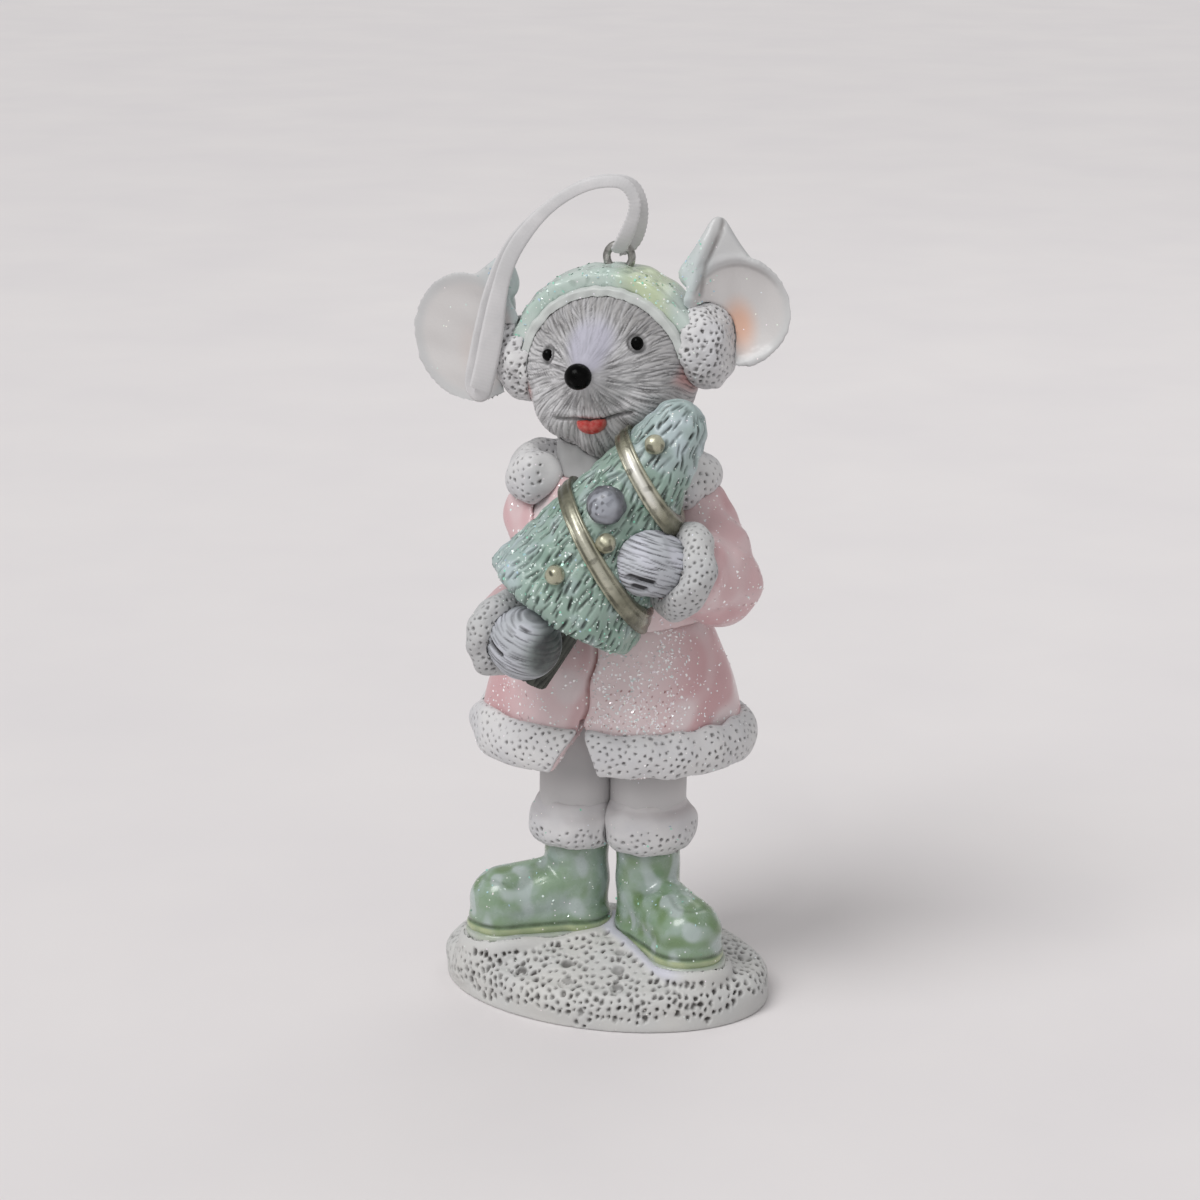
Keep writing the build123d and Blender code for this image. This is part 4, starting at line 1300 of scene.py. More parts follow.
@dataclass
class Arms:
    """Sleeves, fur cuffs and paws."""

    sleeve_grain: float = 0.3
    fur_grain: float = 0.18
    paw_centers: tuple[Point, Point] = ((-7.52, -23.53, 63.36), (13.25, -18.63, 74.9))
    paw_directions: tuple[Point, Point] = ((0.84, -0.50, -0.12), (-0.74, -0.58, 0.33))
    # Each slit: its height on the paw, then where it starts and ends along the fur.
    slits: tuple[tuple[Point, ...], tuple[Point, ...]] = (((0.4, -0.8, 2.8), (-3.4, -1.4, 1.8)),
                                                          ((-2.2, 2.4, 6.6), (-3.5, 3.0, 5.4)))
    slit_width: float = 0.38
    slit_depth: float = 0.6
    fur_directions: tuple[Point, Point] = ((0.76, -0.46, -0.46), (-0.74, -0.58, 0.33))
    fur_round: float = 6.0
    fur: tuple[Strokes, Strokes] = (
        Strokes(row=1.9, gap=0.7, length=3.2, width=0.16, seed=67, slant=0.05),
        Strokes(row=1.9, gap=0.7, length=3.2, width=0.13, seed=68, slant=0.05))
    fur_depth: float = 0.2
    cuff_push: tuple[float, float] = (0.7, 1.4)
    cuff_pits: Pits = Pits(spacing=0.86, radius=0.29, seed=66)
    cuff_pit_depth: float = 0.36
    # The left paw's finger shade and its per-side pale and shade shares are painted shade next to the tree.
    finger_shade: float = 5.3
    pale_share: tuple[float, float] = (0.35, 0.8)
    shade_share: tuple[float, float] = (0.35, 0.1)
    glitter: Flakes = Flakes(count=220, size=0.44, seed=64)

    def build(self) -> None:
        """Builds both arms."""
        for side in Side:
            self.sleeve(side)
            self.cuff(side)
            self.paw(side)

    def sleeve(self, side: Side) -> None:
        """Builds one puffed sleeve.

        Args:
            side: viewer's side of the piece.
        """
        node = f"sleeve_{side.value}"
        clay = cast(node, grain=self.sleeve_grain, rounds=22)
        points = clay.points()
        clay.roughen(height=0.35, size=7.0, seed=61)
        clay.mask("pearl", 0.35 * patches(points, size=8.0, seed=62, low=-0.4, high=0.6))
        # Darker pink over the whole sleeve: painted shade.
        clay.mask("blush_and_shade", 0.55 + 0.25 * patches(points, size=9.0, seed=63, low=0.0, high=1.0))
        clay.finish(Palette.COAT, "coat", node)
        everywhere = np.ones(len(points))
        self.glitter.strew(f"sleeve_glitter_{side.value}", clay, everywhere, Palette.SILVER_FLAKE, "coat")

    def cuff(self, side: Side) -> None:
        """Builds one fur cuff, pushed down over the wrist.

        Args:
            side: viewer's side of the piece.
        """
        node = f"sleeve_cuff_{side.value}"
        clay = cast(node, grain=self.fur_grain, rounds=14)
        points = clay.points()
        push = np.array(side.of(self.paw_directions)) * side.of(self.cuff_push)
        clay.move(np.tile(push, (len(points), 1)))
        clay.swell(0.28 * ripple(points, size=4.0, seed=65))
        clay.poke(self.cuff_pits, np.ones(len(points)), self.cuff_pit_depth)
        # The greyer cuff paint is painted shade.
        clay.finish(Palette.SHADED_CUFF_FUR, "fur_white", node)

    def paw(self, side: Side) -> None:
        """Builds one furry paw with its finger slits.

        Args:
            side: viewer's side of the piece.
        """
        node = f"paw_{side.value}"
        center = side.of(self.paw_centers)
        clay = cast(node, grain=self.fur_grain, rounds=14)
        spots = Axes.along(center, side.of(self.fur_directions), (0, 0, 1)).local(clay.points())
        along = spots[:, 2]
        flat = np.full(len(along), self.fur_round)
        fur = side.of(self.fur).carve(along, spots[:, 0] / flat, flat)
        outer = clay.normals()[:, 1] < 0.2
        clay.carve(fur * outer, self.fur_depth)
        cuts = np.zeros(len(along))
        for height, start, end in side.of(self.slits):
            run = smooth_step(start - 0.4, start + 0.4, along) * smooth_step(end + 0.4, end - 0.4, along)
            cuts = np.maximum(cuts, ridge(spots[:, 0] - height, self.slit_width) * run * outer)
        clay.carve(cuts, self.slit_depth)
        clay.mask("slit", 0.9 * smooth_step(0.3, 0.7, cuts))
        points = clay.points()
        # Painted shade: toward its finger ends the left paw darkens and turns green, next to the tree.
        reach = (points - center) @ np.array(side.of(self.paw_directions))
        tips = smooth_step(self.finger_shade - 0.6, self.finger_shade + 1.6, reach) * (side is Side.LEFT)
        clay.depth = np.maximum(clay.depth, 0.8 * smooth_step(0.4, 1.0, tips))
        clay.mask("moss", tips * 0.8)
        # The pale share and shade share are set per side so that the left paw is darker: painted shade.
        clay.mask("pale", patches(points, size=5.0, seed=69, low=-0.3, high=0.8) * side.of(self.pale_share))
        clouds = patches(points, size=6.0, seed=70, low=0.2, high=1.0)
        clay.mask("deep", side.of(self.shade_share) + clouds * 0.4)
        clay.finish(Palette.PAW, "fur_grey", node)


@dataclass
class Tree:
    """Frosted tree with its trunk, gold garlands and baubles."""

    foot: Point = (-2.6, -18.0, 66.8)
    lean: float = 31.5
    back: float = 9.0
    height: float = 37.0
    grain: float = 0.2
    needles: Strokes = Strokes(row=2.1, gap=1.12, length=2.3, width=0.3, seed=72, slant=0.2)
    needle_depth: float = 0.4
    tier_pitch: float = 2.6
    glitter: Flakes = Flakes(count=760, size=0.40, seed=74)
    bark: Strokes = Strokes(row=2.4, gap=0.9, length=4.0, width=0.26, seed=75, slant=0.15)
    bark_depth: float = 0.32
    garland_slant: float = 26.0
    # Each garland: its CAD node, its place along the tree and how brightly it is lit, which is painted into
    # its colour as highlight and shade.
    garlands: tuple[tuple[str, float, float], ...] = (
        ("garland_upper", 24.5, 1.0), ("garland_lower", 12.0, 0.3))
    garland_lip: float = 1.05
    garland_groove: float = 0.76

    def axes(self) -> Axes:
        """Frame of the tree, from its foot to its tip.

        Returns:
            The frame, with up toward the tip.
        """
        lean, back = math.radians(self.lean), math.radians(self.back)
        up = (math.sin(lean) * math.cos(back), math.sin(back), math.cos(lean) * math.cos(back))
        return Axes.along(self.foot, up, (math.cos(lean), 0.0, -math.sin(lean)))

    def build(self) -> None:
        """Builds the tree and all that is on it."""
        self.cone()
        self.trunk()
        for node, along, bright in self.garlands:
            self.garland(node, along, bright)
        self.baubles()

    def cone(self) -> None:
        """Builds the needled cone."""
        clay = cast("tree", grain=self.grain, rounds=7)
        spots = self.axes().local(clay.points())
        along, angle, radius = bearing_round(spots)
        clay.roughen(height=0.2, size=6.0, seed=71)
        clay.swell(0.07 * np.sin(along * 2 * math.pi / self.tier_pitch + 1.2 * np.sin(angle * 3)))
        needles = self.needles.carve(along, angle, radius)
        clay.carve(needles * smooth_step(1.5, 2.6, radius), self.needle_depth)
        tip = smooth_step(self.height - 13.0, self.height - 5.0, along)
        edge = smooth_step(3.0, 10.5, -spots[:, 0]) * smooth_step(14.0, 2.0, along)
        snowy = patches(clay.points(), size=5.0, seed=73, low=0.2, high=0.9)
        clay.mask("frost", 0.65 * tip + 0.6 * edge + 0.4 * snowy)
        clay.depth = clay.depth * (1.0 - 0.15 * np.clip(tip + edge, 0, 1) * snowy)
        clay.finish(Palette.TREE, "tree_green", "tree")
        front = smooth_step(0.3, -0.4, clay.normals()[:, 1]) + 0.1
        weight = front * smooth_step(30.0, 8.0, along)
        self.glitter.strew("tree_glitter", clay, weight, Palette.GREEN_FLAKE, "tree_green")

    def trunk(self) -> None:
        """Builds the stump."""
        clay = cast("tree_trunk", grain=0.22, rounds=8)
        along, angle, radius = bearing_round(self.axes().local(clay.points()))
        bark = self.bark.carve(along, angle, radius)
        clay.carve(bark * smooth_step(1.0, 2.5, radius), self.bark_depth)
        clay.finish(Palette.TRUNK, "trunk", "tree_trunk")

    def garland(self, node: str, middle: float, bright: float) -> None:
        """Builds one gold band with raised edges, a painted highlight along its front and painted shade on
        its sides.

        Args:
            node: the garland's CAD solid.
            middle: its place along the tree.
            bright: how brightly it is lit, painted in as highlight and shade, from 0 to 1.
        """
        clay = cast(node, grain=0.16, rounds=5)
        spots = self.axes().local(clay.points())
        slant = math.radians(self.garland_slant)
        off = (spots[:, 2] - middle) * math.cos(slant) + spots[:, 0] * math.sin(slant)
        lip = ridge(np.abs(off) - self.garland_lip, width=0.22)
        crown = ridge(off, width=0.7)
        outward = smooth_step(0.2, 0.7, np.abs(self.axes().turn(clay.normals())[:, :2]).max(axis=1))
        clay.swell(outward * (0.2 * lip + 0.3 * crown - 0.14))
        aside = np.abs(spots[:, 0]) / np.hypot(spots[:, 0], spots[:, 1])
        groove = ridge(np.abs(off) - self.garland_groove, width=0.16) * 0.9
        worn = 0.4 * patches(clay.points(), size=2.4, seed=76, low=0.5, high=1.1)
        # Painted shade: darker on the band's sides, and all over on a dimly lit band.
        shaded = groove + 0.75 * smooth_step(0.35, 0.95, aside) + 0.3 * (1 - bright)
        clay.depth = np.clip(shaded + worn, 0, 1)
        # Painted highlight along the lit front of the band.
        clay.mask("painted_highlight", bright * crown * smooth_step(0.75, 0.25, aside))
        clay.finish(Palette.GOLD, "gold", node)

    def baubles(self) -> None:
        """Builds the gold balls and the grey one."""
        small = cast("tree_baubles", grain=0.13, rounds=4)
        points = small.points()
        small.roughen(height=0.06, size=1.5, seed=77)
        small.depth = patches(points, size=1.6, seed=78, low=0.2, high=0.9) * 0.8
        small.finish(Palette.GOLD, "gold", "tree_baubles")
        large = cast("tree_big_bauble", grain=0.16, rounds=6)
        points = large.points()
        spots = self.axes().local(points) - self.axes().local(middle_mm("tree_big_bauble")[None, :])
        # Darker round its rim as seen from the front: painted shade where the ball turns away; the patches on
        # its left are mottling.
        rim = smooth_step(1.6, 2.9, np.hypot(spots[:, 0], spots[:, 2]))
        large.roughen(height=0.1, size=1.8, seed=79)
        pocks = patches(points, size=1.1, seed=80, low=0.1, high=0.7) * smooth_step(1.6, -0.6, spots[:, 0])
        large.depth = np.clip(rim * 0.8 + pocks * 0.75, 0, 1)
        large.finish(Palette.BAUBLE, "bauble_grey", "tree_big_bauble")


@dataclass
class Head:
    """Grey head with its face, the headband, the earmuffs and the ears."""

    roll: float = -7.0
    fur: Strokes = Strokes(row=2.6, gap=0.86, length=5.8, width=0.15, seed=81, slant=0.08)
    fine_fur: Strokes = Strokes(row=2.2, gap=0.9, length=3.0, width=0.12, seed=82, slant=0.2)
    light_fur: Strokes = Strokes(row=2.6, gap=1.0, length=5.0, width=0.17, seed=94, slant=0.1)
    fur_depth: float = 0.17
    nose_shift: Point = (-0.64, 0.9, -0.25)
    nose_stretch: Point = (1.0, 0.96, 0.97)
    mouth_drop: float = 5.5
    mouth_span: tuple[float, float] = (-6.6, 5.8)
    tongue_shift: float = -0.8
    ear_turn: float = 16.0
    ear_half: tuple[float, float] = (10.4, 8.5)
    ear_reach: tuple[float, float] = (21.9, 20.4)
    ear_rise: tuple[float, float] = (6.4, 7.2)
    ear_front: float = -1.2
    ear_deep: tuple[float, float] = (0.9, 2.1)
    ear_lip: tuple[float, float] = (0.05, 0.4)
    ear_seeds: tuple[int, int] = (91, 92)
    ear_peach: tuple[float, float] = (0.1, 0.95)
    ear_crease: tuple[float, float] = (0.05, 0.4)
    ear_glitter: tuple[Flakes, Flakes] = (
        Flakes(count=60, size=0.36, seed=93), Flakes(count=60, size=0.36, seed=94))
    # Points of the rolled rim on the right ear, across and up from the ear's middle.
    rim_line: tuple[tuple[float, float], ...] = ((-6.5, 3.0), (-5.3, 7.8), (-2.6, 12.1), (-1.8, 14.1))
    eye_shifts: tuple[Point, Point] = ((0.45, -0.6, -0.8), (0.0, 0.0, -0.2))
    eye_radii: tuple[float, float] = (0.85, 0.98)
    eye_stretch: Point = (1.0, 0.9, 1.08)
    band_glitter: Flakes = Flakes(count=420, size=0.44, seed=85)
    muff_pits: Pits = Pits(spacing=0.86, radius=0.38, seed=89, ragged=0.4)
    muff_pit_depth: float = 0.42

    def axes(self) -> Axes:
        """The head's own frame, leaned over with the head.

        Returns:
            The frame, with its origin in the middle of the skull.
        """
        low, high = box_mm("head")
        radius = (high[0] - low[0]) / 2
        center = ((low[0] + high[0]) / 2, high[1] - radius, (low[2] + high[2]) / 2)
        roll = math.radians(self.roll)
        return Axes.along(center, (math.sin(roll), 0, math.cos(roll)), (math.cos(roll), 0, -math.sin(roll)))

    def build(self) -> None:
        """Builds the head and all that is on it."""
        self.skull()
        self.nose()
        for side in Side:
            self.eye(side)
        self.tongue()
        self.headband()
        self.lining()
        for side in Side:
            self.earmuff(side)
            self.ear(side)

    def skull(self) -> None:
        """Builds the furry head with its sockets, mouth, painted patches and painted shade."""
        axes = self.axes()
        low, high = box_mm("head")
        radius = (high[0] - low[0]) / 2
        clay = cast("head", grain=0.19, rounds=34)
        spots = axes.local(clay.points())
        nose = axes.local(middle_mm("nose")[None, :])[0]
        polar = Axes.along((0, 0, 0), nose, (1, 0, 0)).local(spots)
        reach = np.arccos(np.clip(polar[:, 2] / np.linalg.norm(polar, axis=1), -1, 1))
        from_axis = np.hypot(polar[:, 0], polar[:, 1])
        bearing = np.arctan2(polar[:, 1], polar[:, 0]) + 0.05 * np.sin(reach * 5)
        fur, fine, light = [strokes.carve(reach * radius, bearing, from_axis)
                            for strokes in (self.fur, self.fine_fur, self.light_fur)]
        blaze = self.blaze(spots)
        muzzle = smooth_step(6.4, 3.0, np.linalg.norm(spots - nose, axis=1))
        away = 0.45 + 0.55 * smooth_step(2.0, 3.8, from_axis)
        clay.carve(np.maximum(fur, 0.7 * fine) * (1 - 0.6 * blaze) * away, self.fur_depth)
        self.sockets(clay)
        self.mouth(clay, spots)
        clay.mask("pale", np.clip(0.35 * muzzle + 0.75 * light * (1 - 0.5 * blaze), 0, 1))
        clay.mask("blaze", 0.8 * blaze)
        cheeks = np.abs(spots[:, 0]) - 0.55 * np.abs(spots[:, 2] + 1.5)
        clay.mask("blush_and_shade", 0.75 * smooth_step(10.2, 12.2, cheeks) * (spots[:, 1] < 2))
        # Painted shade: the deep mask darkens the head under the chin, at the back and on the viewer's right
        # side, and it darkens the crown.
        under = smooth_step(-5.5, -11.0, spots[:, 2]) + smooth_step(4.0, 9.5, spots[:, 1])
        crown = smooth_step(4.0, 9.0, spots[:, 2]) * (1 - blaze)
        shaded = smooth_step(4.0, 12.0, spots[:, 0])
        clay.mask("deep", np.clip(0.5 * under + 0.65 * crown + 0.5 * shaded, 0, 0.75))
        clay.finish(Palette.GREY, "fur_grey", "head")

    @staticmethod
    def blaze(spots: np.ndarray) -> np.ndarray:
        """Pale patch that runs up from the nose and closes on the forehead.

        Args:
            spots: points in the head's own frame.

        Returns:
            Strength from 0 to 1 at each point.
        """
        across, height = spots[:, 0], spots[:, 2]
        width = 2.2 + 1.4 * smooth_step(2.5, 6.0, height) - 1.6 * smooth_step(6.5, 10.0, height)
        patch = smooth_step(width + 1.2, width - 1.4, np.abs(across - 0.6))
        return patch * smooth_step(1.6, 3.4, height) * smooth_step(10.8, 7.6, height) * (spots[:, 1] < 0)

    def eye_middle(self, side: Side) -> np.ndarray:
        """Middle of a bead eye."""
        return middle_mm(f"eye_{side.value}") + side.of(self.eye_shifts)

    def sockets(self, clay: Clay) -> None:
        """Sinks a socket round each eye and raises its lids.

        Args:
            clay: the head.
        """
        for side in Side:
            gap = np.linalg.norm(clay.points() - self.eye_middle(side), axis=1)
            clay.swell(0.12 * ridge(gap - 1.8, width=0.42))
            clay.carve(ridge(gap - 1.2, width=0.42) * 0.9, depth=0.3)

    def mouth(self, clay: Clay, spots: np.ndarray) -> None:
        """Cuts the mouth line and lifts the lip over it.

        Args:
            clay: the head.
            spots: its points in the head's own frame.
        """
        low, high = self.mouth_span
        x = spots[:, 0]
        line = -self.mouth_drop + 0.022 * (x + 0.5) ** 2 - 0.15 * np.cos(x * 0.9)
        span = smooth_step(low - 0.6, low + 0.8, x) * smooth_step(high + 0.6, high - 0.8, x)
        span = span * (spots[:, 1] < -3)
        off = spots[:, 2] - line
        clay.swell(0.35 * ridge(off - 0.9, width=0.6) * span)
        clay.carve(ridge(off, width=0.26) * span, depth=0.6)

    def nose(self) -> None:
        """Builds the black nose with its soft nostril dents."""
        center = middle_mm("nose") + self.nose_shift
        low, high = box_mm("nose")
        radius = (high[0] - low[0]) / 2
        clay = Clay("nose_cast").ball(center, radius, self.nose_stretch).fuse(grain=0.13, rounds=6)
        spots = self.axes().local(clay.points()) - self.axes().local(center[None, :])
        for side in Side:
            dent = np.linalg.norm(spots - (side.sign * 0.9, -radius * 0.8, -0.7), axis=1)
            clay.swell(-0.16 * ridge(dent, width=0.5))
        clay.finish(Palette.BLACK, "black", "nose")

    def eye(self, side: Side) -> None:
        """Builds one bead eye.

        Args:
            side: viewer's side of the piece.
        """
        node = f"eye_{side.value}"
        clay = Clay(node + "_cast")
        clay.ball(self.eye_middle(side), side.of(self.eye_radii), self.eye_stretch)
        clay.fuse(grain=0.09, rounds=4)
        clay.finish(Palette.BLACK, "black", node)

    def tongue(self) -> None:
        """Builds the half-round tongue under the mouth line."""
        axes = self.axes()
        clay = cast("tongue", grain=0.12, rounds=8)
        spots = axes.local(clay.points())
        height = spots[:, 2] + self.mouth_drop
        sink = np.clip(height - 0.1, 0, None) * 0.9 + np.minimum(height, 0) * 0.2
        clay.move(-np.outer(sink, axes.up) + np.outer(0.1 * spots[:, 0] + self.tongue_shift, axes.right))
        spots = axes.local(clay.points())
        middle = axes.local(middle_mm("tongue")[None, :])[0] + (self.tongue_shift, 0.0, 0.0)
        clay.swell(-0.18 * ridge(spots[:, 0] - middle[0], width=0.35) * (spots[:, 2] > middle[2] - 1.2))
        rim = np.hypot(spots[:, 0] - middle[0], spots[:, 2] + self.mouth_drop)
        clay.depth = 0.8 * smooth_step(1.75, 2.2, rim)
        clay.finish(Palette.RED, "tongue", "tongue")

    def headband(self) -> None:
        """Builds the green band over the head."""
        clay = cast("headband", grain=0.24, rounds=18)
        points = clay.points()
        spots = self.axes().local(points)
        clay.roughen(height=0.22, size=4.0, seed=83)
        clay.mask("moss", smooth_step(2.0, 7.0, spots[:, 0]) * smooth_step(12.5, 9.0, spots[:, 0]) * 0.75)
        clay.depth = 0.4 * patches(points, size=2.5, seed=84, low=0.4, high=1.0)
        clay.finish(Palette.BAND, "mint", "headband")
        weight = smooth_step(3.0, -4.0, spots[:, 1]) + 0.15
        self.band_glitter.strew("band_glitter", clay, weight, Palette.GREEN_FLAKE, "mint")

    def lining(self) -> None:
        """Builds the pale rim along the front of the band, with painted shade along its back edge under the
        band.
        """
        clay = cast("headband_lining", grain=0.15, rounds=8)
        points = clay.points()
        clay.roughen(height=0.12, size=2.2, seed=86)
        back = box_mm("headband_lining")[1][1]
        # Painted shade along the back edge, in the groove under the band.
        clay.depth = 0.8 * smooth_step(back - 0.4, back, points[:, 1])
        clay.finish(Palette.LINING, "lining", "headband_lining")

    def earmuff(self, side: Side) -> None:
        """Builds one fur earmuff, closely pitted.

        Args:
            side: viewer's side of the piece.
        """
        node = f"earmuff_{side.value}"
        clay = cast(node, grain=0.155, rounds=24)
        clay.roughen(height=0.25, size=4.0, seed=88)
        clay.poke(self.muff_pits, np.ones(len(clay.points())), self.muff_pit_depth)
        clay.finish(Palette.FUR, "fur_white", node)

    def dish(self, clay: Clay, axes: Axes, side: Side) -> None:
        """Rounds the flat front of an ear into a soft dish with a rolled lip.

        Args:
            clay: the ear.
            axes: the ear's own frame.
            side: viewer's side of the piece.
        """
        spots = axes.local(clay.points())
        radial = np.hypot(spots[:, 0], spots[:, 2]) / side.of(self.ear_half)
        hollow = side.of(self.ear_deep) * np.clip(1 - radial ** 2, 0, 1) ** 1.2
        lip = side.of(self.ear_lip) * ridge(radial - 0.93, width=0.08)
        front = smooth_step(-0.3, -0.65, axes.turn(clay.normals())[:, 1]) * smooth_step(1.06, 0.98, radial)
        clay.move(np.outer(front * (hollow - lip - spots[:, 1]), axes.back))
        clay.soften(24)

    def roll_rim(self, clay: Clay, axes: Axes) -> None:
        """Raises the rolled rim that runs up into an ear's hood, with the crease beside it.

        Args:
            clay: the ear.
            axes: the ear's own frame.
        """
        flat = axes.local(clay.points())[:, [0, 2]]
        front = smooth_step(0.0, -0.5, axes.turn(clay.normals())[:, 1])
        rim = [np.array(spot) for spot in self.rim_line]
        gap = np.minimum.reduce([near_line(flat, *ends) for ends in zip(rim, rim[1:])])
        beside = np.minimum.reduce([near_line(flat - (1.5, 0.0), *ends) for ends in zip(rim, rim[1:])])
        clay.swell(0.7 * ridge(gap, width=0.8) * front)
        clay.carve(0.6 * ridge(beside, width=0.4) * front, depth=0.35)

    def ear(self, side: Side) -> None:
        """Builds one cupped ear with its pointed hood and peach hollow.

        Args:
            side: viewer's side of the piece.
        """
        node = f"ear_{side.value}"
        head = self.axes()
        half = side.of(self.ear_half)
        turn = math.radians(side.sign * self.ear_turn)
        center = head.place((side.sign * side.of(self.ear_reach), self.ear_front, side.of(self.ear_rise)))
        right = head.right * math.cos(turn) + head.back * math.sin(turn)
        axes = Axes(center, right, np.cross(head.up, right), head.up)
        clay = cast(node, grain=0.22, rounds=16)
        self.dish(clay, axes, side)
        if side is Side.RIGHT:
            self.roll_rim(clay, axes)
        clay.roughen(height=0.16, size=6.0, seed=side.of(self.ear_seeds))
        spots = axes.local(clay.points())
        facing = axes.turn(clay.normals())[:, 1]
        radial = np.hypot(spots[:, 0], spots[:, 2]) / half
        inside = smooth_step(-0.05, -0.45, facing) * smooth_step(0.9, 0.74, radial)
        clay.mask("hollow", inside)
        root = np.hypot(spots[:, 0] - side.sign * 0.2, 0.65 * (spots[:, 2] + 2.2))
        clay.mask("peach", inside * smooth_step(3.6, 0.6, root) * side.of(self.ear_peach))
        inner_rim = smooth_step(0.2, 0.8, -side.sign * spots[:, 0] / half)
        clay.mask("pearl", inner_rim * (1 - inside) * 0.6)
        # Painted shade in the crease inside the ear's lip, strongest on the right ear.
        arc = ridge(radial - 0.82, width=0.04) * smooth_step(0.2, 0.5, spots[:, 2] / half) * (facing < -0.2)
        clay.depth = np.maximum(clay.depth, side.of(self.ear_crease) * arc)
        clay.finish(Palette.EAR, "ear", node)
        weight = inner_rim * smooth_step(0.2, -0.4, facing) + 0.01
        flakes = side.of(self.ear_glitter)
        flakes.strew(f"ear_glitter_{side.value}", clay, weight, Palette.GREEN_FLAKE, "ear")


@dataclass
class Hanger:
    """Screw eye and the loop of ribbon through it."""

    width: float = 2.4
    thick: float = 0.22
    rib_pitch: float = 0.55
    across_steps: int = 8
    line_steps: int = 26
    spread: float = 0.45
    loop_pitch: float = 0.7
    arch_draw: float = 0.26
    faces_from: Point = (-0.25, 0.93, -0.28)
    face_pull: float = 0.06
    fold_rise: tuple[float, float] = (115.0, 104.0)
    fold_side: float = -10.0
    arch_rise: tuple[float, float] = (119.0, 126.0)
    curl: float = 0.1
    # Control points of the middle line: from the eye over the arch to the fold, and back to the eye.
    route: tuple[Point, ...] = (
        (1.7, 0.9, 117.7), (1.7, -0.7, 117.7), (3.1, -1.7, 120.0), (4.4, -2.1, 122.9), (5.0, -2.3, 125.0),
        (4.8, -2.4, 126.8), (3.6, -2.6, 128.5), (1.8, -2.8, 129.0), (-2.0, -3.2, 128.5), (-6.3, -3.9, 126.2),
        (-10.1, -4.9, 122.7), (-13.4, -5.9, 117.9), (-15.1, -6.6, 111.9), (-16.0, -6.9, 105.7),
        (-17.1, -7.0, 100.3), (-17.7, -7.0, 98.0), (-18.1, -6.8, 96.6), (-19.3, -5.9, 96.6),
        (-19.1, -5.6, 98.6), (-17.6, -5.4, 105.7), (-16.6, -5.1, 111.9), (-14.5, -4.3, 117.8),
        (-10.8, -3.1, 122.5), (-6.8, -2.1, 126.0), (-2.4, -1.3, 128.5), (1.8, -0.6, 129.0), (4.2, 0.2, 128.2),
        (5.3, 0.9, 125.4), (4.9, 1.8, 122.3), (3.4, 3.0, 119.0), (1.7, 2.6, 117.7), (1.7, 1.1, 117.7))

    def build(self) -> None:
        """Builds the ribbon and dresses the eye."""
        self.ribbon()
        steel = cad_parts["screw_eye"]
        steel.data.materials.clear()
        steel.data.materials.append(Palette.get(Palette.STEEL))

    def line(self) -> np.ndarray:
        """Smooth line of the ribbon, read from its route's spline.

        Returns:
            Points along the line, in order.
        """
        curve = bpy.data.curves.new("ribbon_route", "CURVE")
        curve.dimensions = "3D"
        spline = curve.splines.new("NURBS")
        spline.points.add(len(self.route) - 1)
        for point, spot in zip(spline.points, self.route):
            point.co = (*(c * MM for c in spot), 1.0)
        spline.order_u = 3
        spline.use_endpoint_u = True
        spline.resolution_u = self.line_steps
        holder = bpy.data.objects.new("ribbon_route", curve)
        bpy.context.collection.objects.link(holder)
        mesh = bpy.data.meshes.new_from_object(holder)
        line = np.array([vertex.co for vertex in mesh.vertices]) / MM
        bpy.data.objects.remove(holder)
        bpy.data.meshes.remove(mesh)
        return line

    def ribbon(self) -> None:
        """Builds the flat ribbon along its line, gathered in the eye and spread toward its fold."""
        line = self.line()
        steps = np.linalg.norm(np.diff(line, axis=0), axis=1)
        run = np.concatenate([[0.0], np.cumsum(steps)])
        heading = np.gradient(line, axis=0)
        heading /= np.linalg.norm(heading, axis=1)[:, None]
        ends = np.minimum(run, run[-1] - run)
        face = np.zeros_like(line)
        up = np.array([0.0, 0.0, 1.0])
        pull = self.face_pull * smooth_step(3.0, 6.0, ends)
        for index, direction in enumerate(heading):
            up = up + pull[index] * np.array(self.faces_from)
            up = up - direction * (up @ direction)
            up = up / np.linalg.norm(up)
            face[index] = up
        side = np.cross(heading, face)
        spread = self.spread * smooth_step(*self.fold_rise, line[:, 2]) * (line[:, 0] < self.fold_side)
        loops = 0.04 * np.cos(2 * math.pi * run / self.loop_pitch) * smooth_step(16.0, 11.0, ends)
        gather = 1 + spread + loops - 0.5 * smooth_step(2.4, 0.4, ends)
        gather = gather - self.arch_draw * smooth_step(*self.arch_rise, line[:, 2])
        rib = 0.5 + 0.5 * np.cos(2 * math.pi * run / self.rib_pitch)
        offsets = np.linspace(-1, 1, self.across_steps + 1)
        rows, across, ribs = [], [], []
        for top in (1.0, -1.0):
            for offset in offsets if top > 0 else offsets[::-1]:
                selvedge = 1.0 + 0.5 * math.exp(-((abs(offset) - 0.86) / 0.1) ** 2)
                body = 0.5 if abs(offset) == 1 else selvedge
                height = top * self.thick / 2 * body * (0.94 + 0.06 * rib)
                curl = self.curl * offset ** 2
                rows.append(line + side * (offset * self.width / 2 * gather)[:, None]
                            + face * (height + curl)[:, None])
                across.append(np.full(len(line), abs(offset)))
                ribs.append(rib)
        self.skin(np.stack(rows, axis=1), np.stack(across, axis=1), np.stack(ribs, axis=1), line, run[-1])

